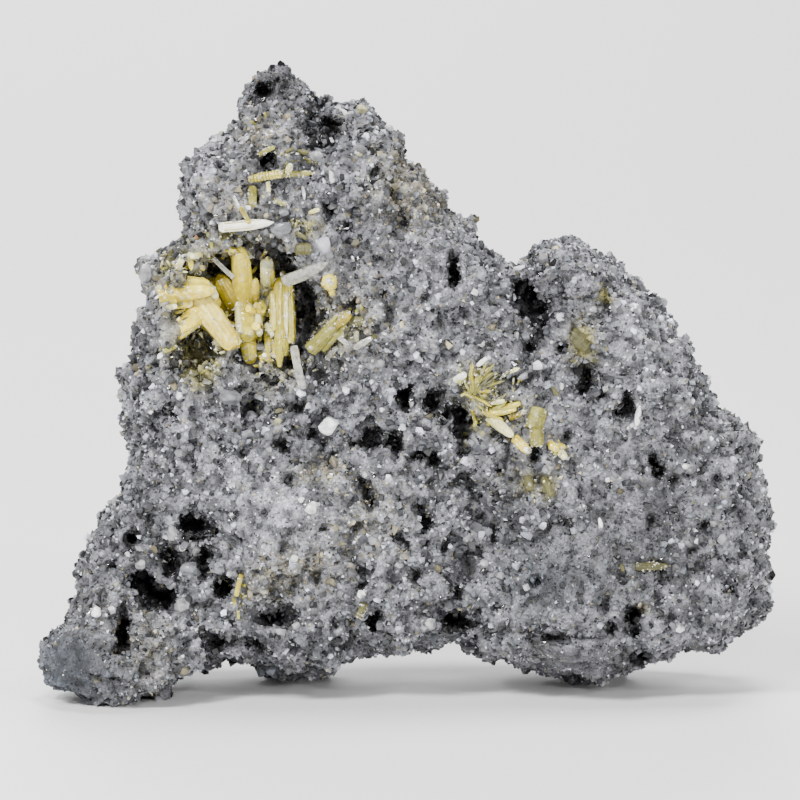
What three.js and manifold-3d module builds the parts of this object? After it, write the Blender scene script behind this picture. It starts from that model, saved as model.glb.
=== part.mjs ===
// Mimetite crystals in and around a vug in a lump of drusy quartz rock: a loose hand specimen.
// Millimetres, +Z up. The lump stands on three flat spots at Z = 0 and shows its crystals to -Y.
import * as THREE from "three";
import { mergeVertices } from "three/addons/utils/BufferGeometryUtils.js";
import Module from "manifold-3d";

const wasm = await Module();
wasm.setup();

// ---- driving dimensions ------------------------------------------------------------------
// A place is noted as x (across), h (height) and y (depth, away from the viewer). h is read
// along a sight line that looks down at the lump by SIGHT degrees, as one looks at a shelf.
const SIGHT = 9;
const SEAT_GAP = 0.3; // clear space between a crystal and the rock or crystal behind it
const CRUST = 0.7; // thickness of the crystal crust that lines the vug
const CRUST_EDGE = 1.5; // the crust ends this far below the front
const HEART = { x: 0, h: 19 }; // the whole rim can be seen from this point
const CENTRE_Y = 1.35; // depth of the middle of the lump, which becomes Y = 0
const FRONT_DEPTH = 7.4; // how far the front stands out from the rim plane
const BACK_DEPTH = 15; // how far the back would lie behind the rim plane if it were not broken
const FRONT_ROUNDING = 4.2; // width of the rounded edge inside the rim, front
const BACK_ROUNDING = 8; // and back
const SHOULDER_SQUARENESS = 2.4; // higher makes the rounded edge fuller
const FRONT_RINGS = 13;
const BACK_RINGS = 8;
const INNERMOST_RING = 0.12; // its size as a share of the rim
const RING_CROWDING = 1.1; // above 1 the rings lie closer together near the rim
const FULLEST_RING = 0.985; // no ring comes nearer to the rim than this share of its reach
const FRONT_CHIPPING = 0.6; // height of the small random facets
const BACK_CHIPPING = 1.2;
const RIM_WANDER = 2.2; // how far the rim strays to the front and back from point to point
const BREAK_MARGIN = 3.4; // how far behind the rim the broken faces of the back begin
const NUGGET_ROUGHNESS = 0.28; // how much the corners of a pit, grain or knob stray from round
const FINE_NUGGET = 2.3; // half-width from which a nugget has more faces
const QUARTZ_POINTS = 6; // small quartz crystals grown on the front
const QUARTZ_FIELD = { x: -24, width: 50, h: 2, height: 42, fromRim: 1.4 }; // where they grow
const QUARTZ_LEAN = 0.8; // how far a point leans to any side
const QUARTZ_WIDTH = { least: 1, spread: 0.7 };
const FAR = 60; // farther from the origin than any part of the lump

// The rim of the lump, clockwise from the peak: x, h and the depth of its edge.
const RIM = [
  [-10.1, 46.9, 2], [-9.0, 46.7, 2], [-8.3, 46.2, 2], [-7.7, 45.5, 2], [-7.1, 45.0, 1.5],
  [-6.7, 44.4, 1], [-5.9, 44.6, 1], [-5.2, 44.2, 1], [-4.6, 43.9, 1], [-3.0, 43.9, 1],
  [-2.4, 43.2, 1], [-2.0, 42.4, 1], [-1.4, 41.8, 1], [-0.8, 41.9, 1], [-0.3, 41.3, 1],
  [-0.1, 40.4, 1], [0.9, 39.1, 1], [2.0, 38.2, 1], [2.8, 36.9, 1], [3.1, 35.5, 0.5],
  [4.0, 35.7, 0.5], [5.1, 35.3, 0.5], [5.4, 34.4, 0.5], [5.7, 33.2, 0], [7.0, 32.7, 0],
  [7.5, 31.9, -0.5], [8.2, 31.6, -1], [8.8, 32.1, -1], [9.7, 33.3, 0], [10.3, 33.3, 0],
  [10.9, 33.1, 0], [11.8, 34.1, 0.5], [12.4, 33.8, 0.5], [12.9, 33.4, 1], [14.1, 33.1, 1],
  [14.8, 32.5, 1], [15.5, 32.3, 1], [16.4, 31.4, 1.5], [17.4, 30.8, 1.5], [17.9, 29.8, 1.5],
  [19.3, 29.1, 2], [19.9, 28.3, 2], [20.2, 27.3, 2], [20.4, 26.4, 2], [21.4, 26.0, 2],
  [21.8, 24.6, 2], [22.3, 23.4, 2], [23.0, 22.3, 2], [23.1, 21.3, 2], [23.8, 20.7, 2],
  [24.9, 20.4, 2], [26.0, 19.6, 2], [26.6, 18.4, 2], [26.4, 17.1, 2], [26.7, 15.7, 2],
  [27.3, 14.5, 2], [27.7, 13.2, 2], [27.2, 11.9, 2], [27.2, 10.5, 2], [27.5, 8.9, 2],
  [27.4, 7.5, 1.5], [27.0, 6.1, 1.5], [26.3, 4.9, 1.5], [25.1, 4.2, 1.5], [24.2, 3.3, 1.5],
  [23.4, 2.8, 1.5], [22.3, 2.8, 1.5], [21.0, 2.5, 1.5], [19.6, 2.2, 1], [18.2, 2.1, 1],
  [17.0, 1.6, 1], [16.1, 0.9, 1], [15.1, 0.4, 1], [13.6, 0.7, 1], [12.3, 1.0, 1],
  [10.8, 1.2, 1], [9.2, 1.4, 1], [7.6, 1.6, 1], [6.0, 1.9, 0.5], [5.0, 2.7, 0.5],
  [3.7, 3.3, 0], [2.4, 2.9, 0], [1.2, 2.8, 0], [0.0, 2.4, 0], [-1.3, 2.6, 0],
  [-2.7, 2.6, 0], [-3.9, 2.5, 0], [-4.9, 1.7, 0], [-6.2, 1.2, 0], [-7.7, 1.2, 0],
  [-9.2, 1.2, 0], [-10.6, 1.1, 0], [-11.8, 1.6, 0], [-12.9, 2.1, 0], [-14.0, 2.3, -1],
  [-15.3, 1.0, -2], [-16.1, 1.3, -3], [-16.7, 1.3, -5], [-18.1, 0.2, -7], [-19.4, -1.0, -7.4],
  [-20.4, -1.1, -7.4], [-21.8, -1.1, -7.4], [-23.3, -1.0, -7.2], [-24.8, -0.8, -7],
  [-25.8, -0.2, -6.4], [-27.0, 0.2, -5.6], [-27.1, 1.1, -5], [-27.6, 2.1, -4.6],
  [-27.2, 3.3, -4.2], [-26.6, 4.4, -3.8], [-25.8, 5.6, -3.2], [-25.0, 6.8, -2.6],
  [-24.6, 8.4, -2], [-24.6, 9.8, -1.6], [-23.8, 11.2, -1.2], [-23.5, 12.4, -1],
  [-22.7, 13.6, -0.8], [-21.6, 14.6, -0.6], [-21.0, 16.0, -0.4], [-20.7, 17.4, -0.2],
  [-21.0, 18.6, 0], [-21.4, 20.0, 0], [-21.6, 21.5, 0], [-21.7, 22.9, 0], [-21.8, 24.0, 0],
  [-20.8, 24.5, 0], [-20.6, 25.7, 0], [-20.2, 27.2, 0], [-20.4, 28.3, 0.5], [-19.6, 29.2, 0.5],
  [-19.9, 30.6, 0.5], [-19.9, 31.6, 0.5], [-18.9, 32.6, 0.5], [-17.7, 33.1, 0.5],
  [-16.6, 34.1, 1], [-17.0, 35.5, 1], [-17.3, 36.8, 1], [-17.1, 38.2, 1], [-17.1, 39.4, 1],
  [-16.0, 39.8, 1.5], [-15.2, 40.6, 1.5], [-14.2, 41.3, 1.5], [-13.4, 42.0, 1.5],
  [-12.6, 42.7, 1.5], [-12.5, 44.2, 2], [-11.8, 45.0, 2], [-11.2, 46.0, 2],
];

// Swells and hollows of the front: x, h, half-width, half-height, rise towards the viewer.
const FRONT_SWELLS = [
  // broad forms
  [-10, 45, 5, 5, -3], [-13, 38, 4.6, 3.6, 0.6], [0, 31, 6, 5, 1.8], [-9, 13, 6, 5.5, 2.6],
  [14.5, 28.5, 5, 4, -1.4], [24, 13, 4, 8, -0.8], [13.5, 8, 6, 4, 1.4], [4, 12, 2.2, 9, -1.3],
  [-23.4, 1.6, 4.4, 3.6, 3.2], [-18, 9, 4, 3.4, -1.6], [12.8, 2.2, 6, 1.5, 2],
  [-19.6, 25, 2.4, 6, 0.8], [-15.5, 18, 3, 3.4, 0.6], [2, 21.4, 4, 1.6, -1.2],
  // lumps and dips
  [-5.4, 43, 2, 1.8, -2.0], [-2.6, 42.8, 1.5, 1.5, 1.2], [-9.6, 41, 2.2, 1.6, 1.3],
  [-15.2, 37, 1.8, 2.2, 1.1], [-11.5, 35.6, 2.6, 1.1, 0.9], [-3, 37, 2.6, 2.2, 1.3],
  [0.8, 38, 2, 2, 0.9], [-18.4, 31.2, 1.5, 1.7, 1.2], [-4.6, 32.5, 1.8, 1.5, 1],
  [-1.4, 27.4, 2.6, 2, 1.1], [-3.8, 23, 2, 1.8, 1], [5.6, 31, 1.8, 2.2, 1.4],
  [6.4, 26.8, 2, 2, 1], [12.4, 31.4, 2, 1.6, 1.1], [13.8, 26, 2.4, 2, 0.9],
  [18, 27, 2, 2, 0.9], [19.6, 22.4, 2, 2.4, 1.2], [24.6, 18, 2, 2, 1.1],
  [-17, 21.4, 1.6, 1.6, 1], [-12.6, 22.4, 1.6, 1.5, 0.9], [-7.4, 20.6, 1.6, 1.4, 0.8],
  [-2, 15, 2.2, 2, 0.8], [1.6, 17.6, 1.6, 1.2, 0.7], [7.4, 15.4, 2.4, 2.4, 1],
  [13, 13.6, 2, 1.6, 1.1], [8, 9, 2, 2, -0.8], [19, 13, 2.2, 2, 0.8], [24, 8, 2, 2.4, 1.3],
  [20.6, 8, 1.6, 1.6, -0.8], [21.8, 3.9, 2, 0.9, 1], [-11, 16.6, 2, 1.6, 0.7],
  [-8.4, 3.2, 3, 1.5, 1.4], [-0.6, 4.6, 2, 1.2, 0.9], [-2.4, 8, 1.4, 1.2, 0.9],
  [-18.6, 1.6, 2.4, 2.6, 2.8], [-22.6, 10, 1.6, 3, 1.3], [-23.6, 6, 1.8, 1.3, 1.4],
];

// The same for the back, which is plainer: x, h, half-width, half-height, rise to the rear.
const BACK_SWELLS = [
  [-11, 41, 5, 6, -5], [-3, 34, 6, 5, 1], [14, 28, 5, 4, -3], [-15, 25, 5, 5, -2],
  [2, 20, 6, 6, 1.2], [22, 13, 4, 5, -2], [-8, 11, 5, 5, 1], [-21, 5, 5, 6, -4],
];

// Broken faces of the back, each a plane: how much it looks right, up and to the rear, and how
// much further out than the margin it lies.
const BREAKS = [
  [-0.95, 0.25, 0.7, -0.4], [-0.75, 0.55, 0.85, 0], [-0.2, 0.85, 0.75, -1], [0.5, 0.8, 0.75, -1.4],
  [0.85, 0.3, 0.7, -0.6], [0.8, -0.35, 0.8, 0], [0.3, -0.75, 0.55, 0.6], [-0.35, -0.7, 0.6, 0],
  [-0.8, -0.45, 0.75, -1], [0.1, 0.26, 1, 0.4], [-0.3, 0.1, 1, 1], [0.34, -0.1, 1, 0.6],
  [-0.1, -0.26, 1, 5], [0.3, 0.34, 1, 0],
];

// Knobs of rock low down, on which the lump stands: x, h, y and half sizes.
const FEET = [
  [-21.4, 1.2, -3.2, 4, 3.3, 4], [-8.6, 3.6, 6.6, 3.4, 3.2, 3.6], [13.6, 2.9, 5.4, 3.8, 3.1, 4.2],
];

// Pits, clefts and the vug: x, h, half-width, half-height, depth, turn in degrees.
const HOLLOWS = {
  vug: [
    [-13.6, 29.6, 4.7, 3.8, 6.8, 10], [-8.7, 27.6, 2.5, 4.3, 7.6, 0],
    [-15.4, 25.6, 2.1, 1.9, 4.6, -20], [-11.4, 32.3, 3.2, 1.8, 4, 5],
    [-11.5, 25.4, 2, 2.6, 5.2, 0],
  ],
  clefts: [
    [9.3, 29.4, 1.1, 1.9, 5.8, 12], [10.1, 27.7, 1.0, 1.4, 5.8, 0], [3.5, 31.6, 0.5, 1.9, 2.4, 4],
    [13.3, 23, 0.55, 1.8, 2, -4], [16.5, 21.4, 0.5, 1.7, 2.2, 2], [4.2, 20, 0.65, 2, 2.6, -6],
    [0.0, 21.9, 0.4, 1.1, 2.2, -8], [1.8, 21.7, 0.5, 0.8, 2.4, 0], [18.9, 16.9, 0.6, 1.3, 2, 25],
  ],
  pits: [
    [-10.6, 44.9, 0.75, 0.6, 4, 10], [-10.3, 39.4, 0.8, 0.85, 3, 0], [-5.7, 42.3, 1.5, 0.8, 1.8, -20],
    [-0.9, 18.5, 0.8, 0.9, 2, 0], [1.9, 17.2, 0.9, 0.5, 1.8, -20], [-2.6, 18.8, 1.0, 1.3, 2.8, 10],
    [-11.6, 21.2, 0.5, 1.6, 1.8, -6],
  ],
  foot: [
    [-19.2, 7.4, 2.4, 1.2, 6, -32], [-20.5, 11.4, 0.6, 0.7, 2.4, 20], [-16, 12.5, 1.4, 0.8, 3, -6],
    [-15.4, 9.6, 0.5, 1.0, 2.6, 0], [-13.7, 7.4, 0.8, 1.1, 3, 10], [-21.2, 4.2, 0.55, 1.8, 2.8, -20],
    [-14.3, 3.6, 0.9, 1.2, 3, 0], [-9.8, 5.4, 2, 0.6, 2.6, -4],
  ],
  crack: [
    [3.8, 5, 1.4, 1, 3.4, -10], [-2.4, 5, 0.5, 1.1, 2, 0], [11.6, 3.9, 3.4, 0.4, 2.2, 4],
    [16.9, 5.4, 0.6, 1, 3, 0], [17.6, 2.5, 1.1, 0.6, 2.6, 20],
  ],
};

// Larger quartz grains that stand out of the front: x, h, half-width, half-height, turn.
const QUARTZ_GRAINS = [
  [17.5, 20.4, 0.4, 0.9, -4], [-16.2, 9.2, 0.8, 0.75, 0], [0.8, 21.6, 0.5, 0.75, -12],
  [-6.2, 32.9, 1.0, 0.65, -30], [-5.8, 19.9, 0.75, 0.75, 0], [-7.1, 13.7, 0.6, 0.6, 20],
  [-3.4, 7.2, 0.5, 0.4, 0], [1.8, 5, 0.5, 0.45, 20], [-23.2, 5.8, 0.6, 0.5, 0],
  [20.9, 16.8, 0.5, 0.45, 0], [24.4, 7.5, 0.7, 0.6, 0], [13.4, 13.6, 0.7, 0.5, 20],
  [11.5, 27.7, 0.7, 0.7, 30], [-8, 40.2, 0.6, 0.5, 0],
];

// ---- finishes ----------------------------------------------------------------------------
const FINISHES = {
  rock: { color: 0x9d9ea1, roughness: 0.62, metalness: 0 },
  yellow: { color: 0xd9c24e, roughness: 0.3, metalness: 0 },
  olive: { color: 0xa39a45, roughness: 0.4, metalness: 0 },
  pale: { color: 0xe9e4c0, roughness: 0.25, metalness: 0 },
  clear: { color: 0xeef1ea, roughness: 0.12, metalness: 0 },
};

// ---- crystals ----------------------------------------------------------------------------
// A habit is the outline of a six-sided crystal: share of its length, share of its half-width.
const HABITS = {
  barrel: [[0, 0.45], [0.14, 0.8], [0.5, 1], [0.86, 0.8], [1, 0.42]],
  bullet: [[0, 0.92], [0.55, 1], [0.84, 0.78], [1, 0.4]],
  spindle: [[0, 0.5], [0.12, 0.76], [0.38, 1], [0.62, 0.94], [0.86, 0.56], [1, 0.36]],
  dart: [[0, 0.7], [0.08, 0.95], [0.6, 1], [0.85, 0.66], [1, 0.14]],
  prism: [[0, 0.96], [1, 1]],
  needle: [[0, 1], [0.8, 0.85], [1, 0.2]],
  point: [[0, 1], [0.6, 1], [1, 0.15]],
};

// Each cluster is one solid. A crystal runs from one end to the other, each given as x, h and
// how far its middle stands out of the front there (below 0 it is sunk into the vug).
const CLUSTERS = [
  {
    name: "vug_crystal_crust",
    finish: "yellow",
    lining: true,
    crystals: [
      // crossed crystals on the left
      { ends: [[-18.8, 29.6, -2.4], [-14.5, 30.0, -0.6]], wide: 1.55, habit: "bullet", roll: 12 },
      { ends: [[-18.2, 30.7, -2.6], [-15.3, 30.6, -1.4]], wide: 1.3, habit: "barrel", roll: 20 },
      { ends: [[-16.9, 29.5, -3.6], [-13.3, 26.2, -0.9]], wide: 1.8, habit: "bullet", roll: 4 },
      { ends: [[-14.2, 29.2, -3.0], [-17.4, 27.3, -0.7]], wide: 1.55, habit: "bullet", roll: 25 },
      // tall bullet with the two beside its foot
      { ends: [[-12.2, 28.9, -5.4], [-12.6, 33.2, -1.7]], wide: 1.6, habit: "bullet", roll: 8 },
      { ends: [[-13.9, 27.8, -6.4], [-12.9, 31.2, -3.4]], wide: 2.3, habit: "barrel", roll: 0 },
      { ends: [[-11.5, 29.1, -5.0], [-11.3, 30.8, -3.2]], wide: 0.85, habit: "bullet", roll: 15 },
      // blocky pale pair
      { ends: [[-12.2, 29.15, -6.4], [-11.9, 26.2, -2.0]], wide: 1.75, habit: "prism", roll: 14 },
      { ends: [[-11.95, 27.2, -3.0], [-11.7, 24.5, -1.6]], wide: 1.35, habit: "prism", roll: 0 },
      // centre spindle and the prism on its left
      { ends: [[-9.3, 30.95, -3.2], [-9.35, 23.9, -1.5]], wide: 2.05, habit: "spindle", roll: 6 },
      { ends: [[-10.35, 27.2, -3.2], [-10.2, 24.3, -2.2]], wide: 0.65, habit: "prism", roll: 0 },
      // pale stub behind its head, and the clear needle under it
      { ends: [[-10.5, 30.2, -4.6], [-10.45, 31.9, -2.0]], wide: 0.85, habit: "bullet", roll: 0 },
      { ends: [[-8.7, 25.6, -3.4], [-7.5, 22.6, 0.2]], wide: 0.8, habit: "prism", roll: 10 },
      // glassy needles at the top left
      { ends: [[-15.4, 30.9, -3.4], [-16.1, 32.9, -0.1]], wide: 0.6, habit: "needle", roll: 0 },
      { ends: [[-15.2, 31.0, -3.4], [-14.9, 32.8, -0.5]], wide: 0.5, habit: "needle", roll: 20 },
      { ends: [[-15.6, 31.2, -3.0], [-17.4, 32.2, -0.2]], wide: 0.55, habit: "needle", roll: 10 },
    ],
  },
  {
    name: "clear_prism",
    finish: "clear",
    crystals: [
      { ends: [[-9.2, 30.4, 0.2], [-5.8, 32.1, 0.75]], wide: 1.1, habit: "dart", roll: 10 },
    ],
  },
  {
    name: "right_spindle_crystal",
    finish: "olive",
    crystals: [
      { ends: [[-7.9, 25.7, 0.1], [-4.3, 28.3, 0.6]], wide: 1.55, habit: "barrel", roll: 8 },
      { ends: [[-5.3, 27.6, 0.2], [-3.0, 28.3, 0.3]], wide: 1.35, habit: "barrel", roll: 0 },
      { ends: [[-5.6, 26.9, 0.4], [-4.3, 25.8, 0.5]], wide: 0.5, habit: "needle", roll: 0 },
    ],
  },
  {
    name: "white_barrel_crystal",
    finish: "pale",
    crystals: [
      { ends: [[-14.0, 34.72, 0.8], [-10.0, 35.02, 0.8]], wide: 0.98, habit: "dart", roll: 0 },
      { ends: [[-12.6, 33.62, 0.3], [-12.6, 34.7, 0.7]], wide: 0.56, habit: "prism", roll: 30 },
      { ends: [[-12.75, 36.9, 0.5], [-12.1, 34.8, 0.5]], wide: 0.4, habit: "needle", roll: 0 },
      { ends: [[-12.1, 36.3, 0.5], [-11.7, 34.9, 0.9]], wide: 0.4, habit: "needle", roll: 0 },
    ],
  },
  {
    name: "end_on_crystal",
    finish: "yellow",
    crystals: [
      { ends: [[-5.6, 30.4, -0.8], [-5.75, 30.6, 1.0]], wide: 1.55, habit: "bullet", roll: 0 },
    ],
  },
  {
    name: "olive_block_crystal",
    finish: "olive",
    crystals: [
      { ends: [[-7.75, 33.0, -0.9], [-7.75, 33.1, 0.5]], wide: 1.3, habit: "prism", roll: 20 },
    ],
  },
  {
    name: "barred_needle",
    finish: "yellow",
    crystals: [
      { ends: [[-11.9, 38.2, 0.35], [-9.1, 38.6, 0.4]], wide: 0.66, habit: "prism", roll: 0 },
      { ends: [[-9.4, 38.6, 0.4], [-7.5, 38.65, 0.5]], wide: 0.55, habit: "needle", roll: 0 },
      { ends: [[-9.1, 38.9, 0.2], [-8.5, 39.2, 0.5]], wide: 0.8, habit: "barrel", roll: 0 },
    ],
  },
  {
    name: "square_prism",
    finish: "pale",
    crystals: [
      { ends: [[-11.65, 37.55, 0.2], [-11.4, 36.25, 0.3]], wide: 0.85, habit: "prism", roll: 0 },
    ],
  },
  {
    name: "top_needle",
    finish: "pale",
    crystals: [
      { ends: [[-11.0, 40.15, 0.4], [-9.95, 40.65, 0.5]], wide: 0.5, habit: "prism", roll: 0 },
    ],
  },
  {
    name: "upper_fan_crystals",
    finish: "yellow",
    crystals: [
      { ends: [[5.3, 24.9, -0.4], [3.6, 23.8, 0.5]], wide: 0.85, habit: "barrel", roll: 0 },
      { ends: [[5.3, 24.9, -0.4], [4.6, 22.9, 0.6]], wide: 0.8, habit: "needle", roll: 10 },
      { ends: [[5.4, 24.9, -0.4], [5.2, 22.5, 0.7]], wide: 0.9, habit: "needle", roll: 20 },
      { ends: [[5.5, 24.9, -0.4], [5.9, 22.6, 0.7]], wide: 0.9, habit: "needle", roll: 0 },
      { ends: [[5.5, 24.9, -0.4], [6.5, 23.1, 0.6]], wide: 0.8, habit: "needle", roll: 10 },
      { ends: [[5.6, 24.9, -0.4], [6.6, 24.2, 0.5]], wide: 0.75, habit: "barrel", roll: 0 },
    ],
  },
  {
    name: "lower_fan_crystals",
    finish: "yellow",
    crystals: [
      { ends: [[5.1, 21.8, -0.4], [8.3, 21.9, 0.5]], wide: 0.9, habit: "needle", roll: 0 },
      { ends: [[5.1, 21.8, -0.4], [8.5, 21.2, 0.6]], wide: 0.95, habit: "needle", roll: 20 },
      { ends: [[5.1, 21.7, -0.4], [7.8, 20.6, 0.8]], wide: 0.95, habit: "needle", roll: 10 },
      { ends: [[5.1, 21.7, -0.4], [6.6, 20.2, 0.7]], wide: 0.85, habit: "needle", roll: 0 },
      { ends: [[5.2, 21.8, 0], [5.3, 20.2, 0.6]], wide: 0.8, habit: "needle", roll: 0 },
      { ends: [[5.8, 20.5, 0.1], [7.9, 19.1, 0.7]], wide: 1.0, habit: "bullet", roll: 0 },
    ],
  },
  {
    name: "dark_needle",
    finish: "olive",
    crystals: [
      { ends: [[8.0, 20.35, 0.4], [9.0, 20.95, 0.35]], wide: 0.45, habit: "dart", roll: 0 },
    ],
  },
  {
    name: "small_bullet_crystal",
    finish: "pale",
    crystals: [
      { ends: [[8.4, 18.8, 0.1], [9.2, 17.9, 0.8]], wide: 0.9, habit: "bullet", roll: 0 },
    ],
  },
  {
    name: "flat_prism",
    finish: "olive",
    crystals: [
      { ends: [[9.3, 19.2, 0.2], [9.9, 20.8, 0.2]], wide: 1.3, habit: "prism", roll: 0 },
    ],
  },
  {
    name: "end_on_pair",
    finish: "pale",
    crystals: [
      { ends: [[10.9, 18.35, -0.7], [11.0, 18.25, 0.9]], wide: 0.95, habit: "bullet", roll: 0 },
      { ends: [[11.3, 17.9, -0.7], [11.4, 17.8, 1.0]], wide: 1.0, habit: "bullet", roll: 0 },
    ],
  },
  {
    name: "low_right_prism",
    finish: "olive",
    crystals: [
      { ends: [[17.1, 9.25, 0.2], [19.2, 9.1, 0.25]], wide: 0.66, habit: "prism", roll: 0 },
    ],
  },
  {
    name: "low_left_prism",
    finish: "olive",
    crystals: [
      { ends: [[-12.35, 8.7, 0.3], [-12.75, 7.1, 0.3]], wide: 0.44, habit: "prism", roll: 0 },
    ],
  },
  {
    name: "low_centre_prism",
    finish: "olive",
    crystals: [
      { ends: [[-3.1, 6.5, 0.2], [-3.6, 5.5, 0.35]], wide: 0.7, habit: "prism", roll: 0 },
    ],
  },
];

// ---- places ------------------------------------------------------------------------------
const SIN = Math.sin(THREE.MathUtils.degToRad(SIGHT));
const COS = Math.cos(THREE.MathUtils.degToRad(SIGHT));
const SIGHT_LINE = new THREE.Vector3(0, COS, -SIN);

function place(x, h, y) {
  return new THREE.Vector3(x, y - CENTRE_Y, (h - y * SIN) / COS);
}

// A repeatable random number from 0 to 1 for two whole numbers and a salt.
function chance(i, j, salt) {
  const wave = Math.sin(i * 127.1 + j * 311.7 + salt * 74.7) * 43758.5453;
  return wave - Math.floor(wave);
}

function swell(list, x, h) {
  let sum = 0;
  for (const [cx, ch, halfWidth, halfHeight, rise] of list) {
    sum += rise * Math.exp(-(((x - cx) / halfWidth) ** 2) - ((h - ch) / halfHeight) ** 2);
  }
  return sum;
}

// Distance from (x, h) to the nearest stretch of the rim.
function inset(x, h) {
  let least = Infinity;
  RIM.forEach(([ax, ah], i) => {
    const [bx, bh] = RIM[(i + 1) % RIM.length];
    const along = ((x - ax) * (bx - ax) + (h - ah) * (bh - ah)) / ((bx - ax) ** 2 + (bh - ah) ** 2);
    const t = THREE.MathUtils.clamp(along, 0, 1);
    least = Math.min(least, Math.hypot(x - ax - t * (bx - ax), h - ah - t * (bh - ah)));
  });
  return least;
}

function insideRim(x, h) {
  let inside = false;
  RIM.forEach(([ax, ah], i) => {
    const [bx, bh] = RIM[(i + 1) % RIM.length];
    if (ah > h !== bh > h && x < ax + ((h - ah) / (bh - ah)) * (bx - ax)) inside = !inside;
  });
  return inside;
}

// How much of the full depth is reached this far inside the rim: 0 at the rim, 1 past it.
function shoulder(distance, rounding) {
  return Math.sqrt(1 - (1 - Math.min(distance / rounding, 1)) ** SHOULDER_SQUARENESS);
}

function frontY(x, h, rimY) {
  const full = -FRONT_DEPTH - swell(FRONT_SWELLS, x, h);
  return rimY + (full - rimY) * shoulder(inset(x, h), FRONT_ROUNDING);
}

function backY(x, h, rimY) {
  const full = BACK_DEPTH + swell(BACK_SWELLS, x, h);
  return rimY + (full - rimY) * shoulder(inset(x, h), BACK_ROUNDING);
}

// ---- mesh helpers ------------------------------------------------------------------------
function signedVolume(vertices, indices) {
  const corner = (k) => new THREE.Vector3().fromArray(vertices, indices[k] * 3);
  let sum = 0;
  for (let k = 0; k < indices.length; k += 3) {
    sum += corner(k).dot(corner(k + 1).cross(corner(k + 2)));
  }
  return sum / 6;
}

function solidOf(geometry) {
  geometry.deleteAttribute("normal");
  geometry.deleteAttribute("uv");
  const merged = mergeVertices(geometry, 1e-4);
  const vertProperties = new Float32Array(merged.attributes.position.array);
  const triVerts = new Uint32Array(merged.index.array);
  if (signedVolume(vertProperties, triVerts) < 0) triVerts.reverse();
  return new wasm.Manifold(new wasm.Mesh({ numProp: 3, vertProperties, triVerts }));
}

function solidFrom(points, triangles) {
  const geometry = new THREE.BufferGeometry();
  geometry.setFromPoints(points);
  geometry.setIndex(triangles.flat());
  return solidOf(geometry);
}

function geometryOf(solid) {
  const { numProp, vertProperties, triVerts } = solid.getMesh();
  const corners = [];
  for (let i = 0; i < vertProperties.length; i += numProp) {
    corners.push(new THREE.Vector3().fromArray(vertProperties, i));
  }
  const geometry = new THREE.BufferGeometry().setFromPoints(corners);
  geometry.setIndex([...triVerts]);
  geometry.computeVertexNormals();
  return geometry;
}

// Joins two closed loops of points, which may have different counts, by a band of triangles.
function band(loopA, loopB) {
  const triangles = [];
  let a = 0;
  let b = 0;
  while (a < loopA.length || b < loopB.length) {
    const lagging = (a + 1) / loopA.length <= (b + 1) / loopB.length;
    const stepA = b === loopB.length || (a < loopA.length && lagging);
    const here = loopA[a % loopA.length];
    const there = loopB[b % loopB.length];
    if (stepA) triangles.push([here, loopA[(a + 1) % loopA.length], there]);
    else triangles.push([here, loopB[(b + 1) % loopB.length], there]);
    if (stepA) a += 1;
    else b += 1;
  }
  return triangles;
}

function fan(loop, tip) {
  return loop.map((corner, i) => [corner, loop[(i + 1) % loop.length], tip]);
}

function join(solids) {
  return solids.reduce((whole, solid) => whole.add(solid));
}

function largestBody(solid) {
  return solid.decompose().reduce((best, body) => (body.volume() > best.volume() ? body : best));
}

// ---- the rock ----------------------------------------------------------------------------
const REACH = RIM.map(([x, h]) => Math.hypot(x - HEART.x, h - HEART.h));

// Reach of a spoke averaged with its neighbours, so that small bumps of the rim fade inwards.
function evenReach(i, neighbours) {
  let sum = 0;
  for (let k = -neighbours; k <= neighbours; k++) sum += REACH.at((i + k) % REACH.length);
  return sum / (2 * neighbours + 1);
}

function wander(i) {
  return RIM_WANDER * (chance(i, 2, 21) - 0.5);
}

// One face of the lump: rings of the rim drawn in towards the heart, thinned as they shrink.
function face(points, { rings, thinning, neighbours, depthAt, chipping, sway, salt }) {
  const triangles = [];
  let outer = RIM.map((_, i) => i);
  for (let ring = 1; ring <= rings; ring++) {
    const share = 1 - (1 - INNERMOST_RING) * (ring / rings) ** RING_CROWDING;
    const step = thinning.find(([above]) => share > above)[1];
    const loop = [];
    for (let i = 0; i < RIM.length; i += step) {
      const [rimX, rimH, rimY] = RIM[i];
      const reach = Math.min(FULLEST_RING, (evenReach(i, neighbours) / REACH[i]) * share);
      const stray = ring > 1 ? sway : 0;
      const x = HEART.x + (rimX - HEART.x) * reach + stray * (chance(i, ring, salt) - 0.5);
      const h = HEART.h + (rimH - HEART.h) * reach + stray * (chance(ring, i, salt + 1) - 0.5);
      const chip = chipping * (chance(i, ring, salt + 2) - 0.5) * shoulder(inset(x, h), 3);
      points.push(place(x, h, depthAt(x, h, rimY + wander(i)) + chip));
      loop.push(points.length - 1);
    }
    triangles.push(...band(outer, loop));
    outer = loop;
  }
  points.push(place(HEART.x, HEART.h, depthAt(HEART.x, HEART.h, 0)));
  triangles.push(...fan(outer, points.length - 1));
  return triangles;
}

function lumpBody() {
  const points = RIM.map(([x, h, y], i) => place(x, h, y + wander(i)));
  const front = face(points, {
    rings: FRONT_RINGS,
    thinning: [[0.9, 1], [0.55, 2], [0.42, 4], [0, 8]],
    neighbours: 0,
    depthAt: frontY,
    chipping: FRONT_CHIPPING,
    sway: 0.7,
    salt: 1,
  });
  const back = face(points, {
    rings: BACK_RINGS,
    thinning: [[0.94, 1], [0.88, 2], [0.6, 3], [0, 7]],
    neighbours: 5,
    depthAt: backY,
    chipping: BACK_CHIPPING,
    sway: 1.2,
    salt: 5,
  });
  return solidFrom(points, [...front, ...back.map(([a, b, c]) => [a, c, b])]);
}

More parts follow.
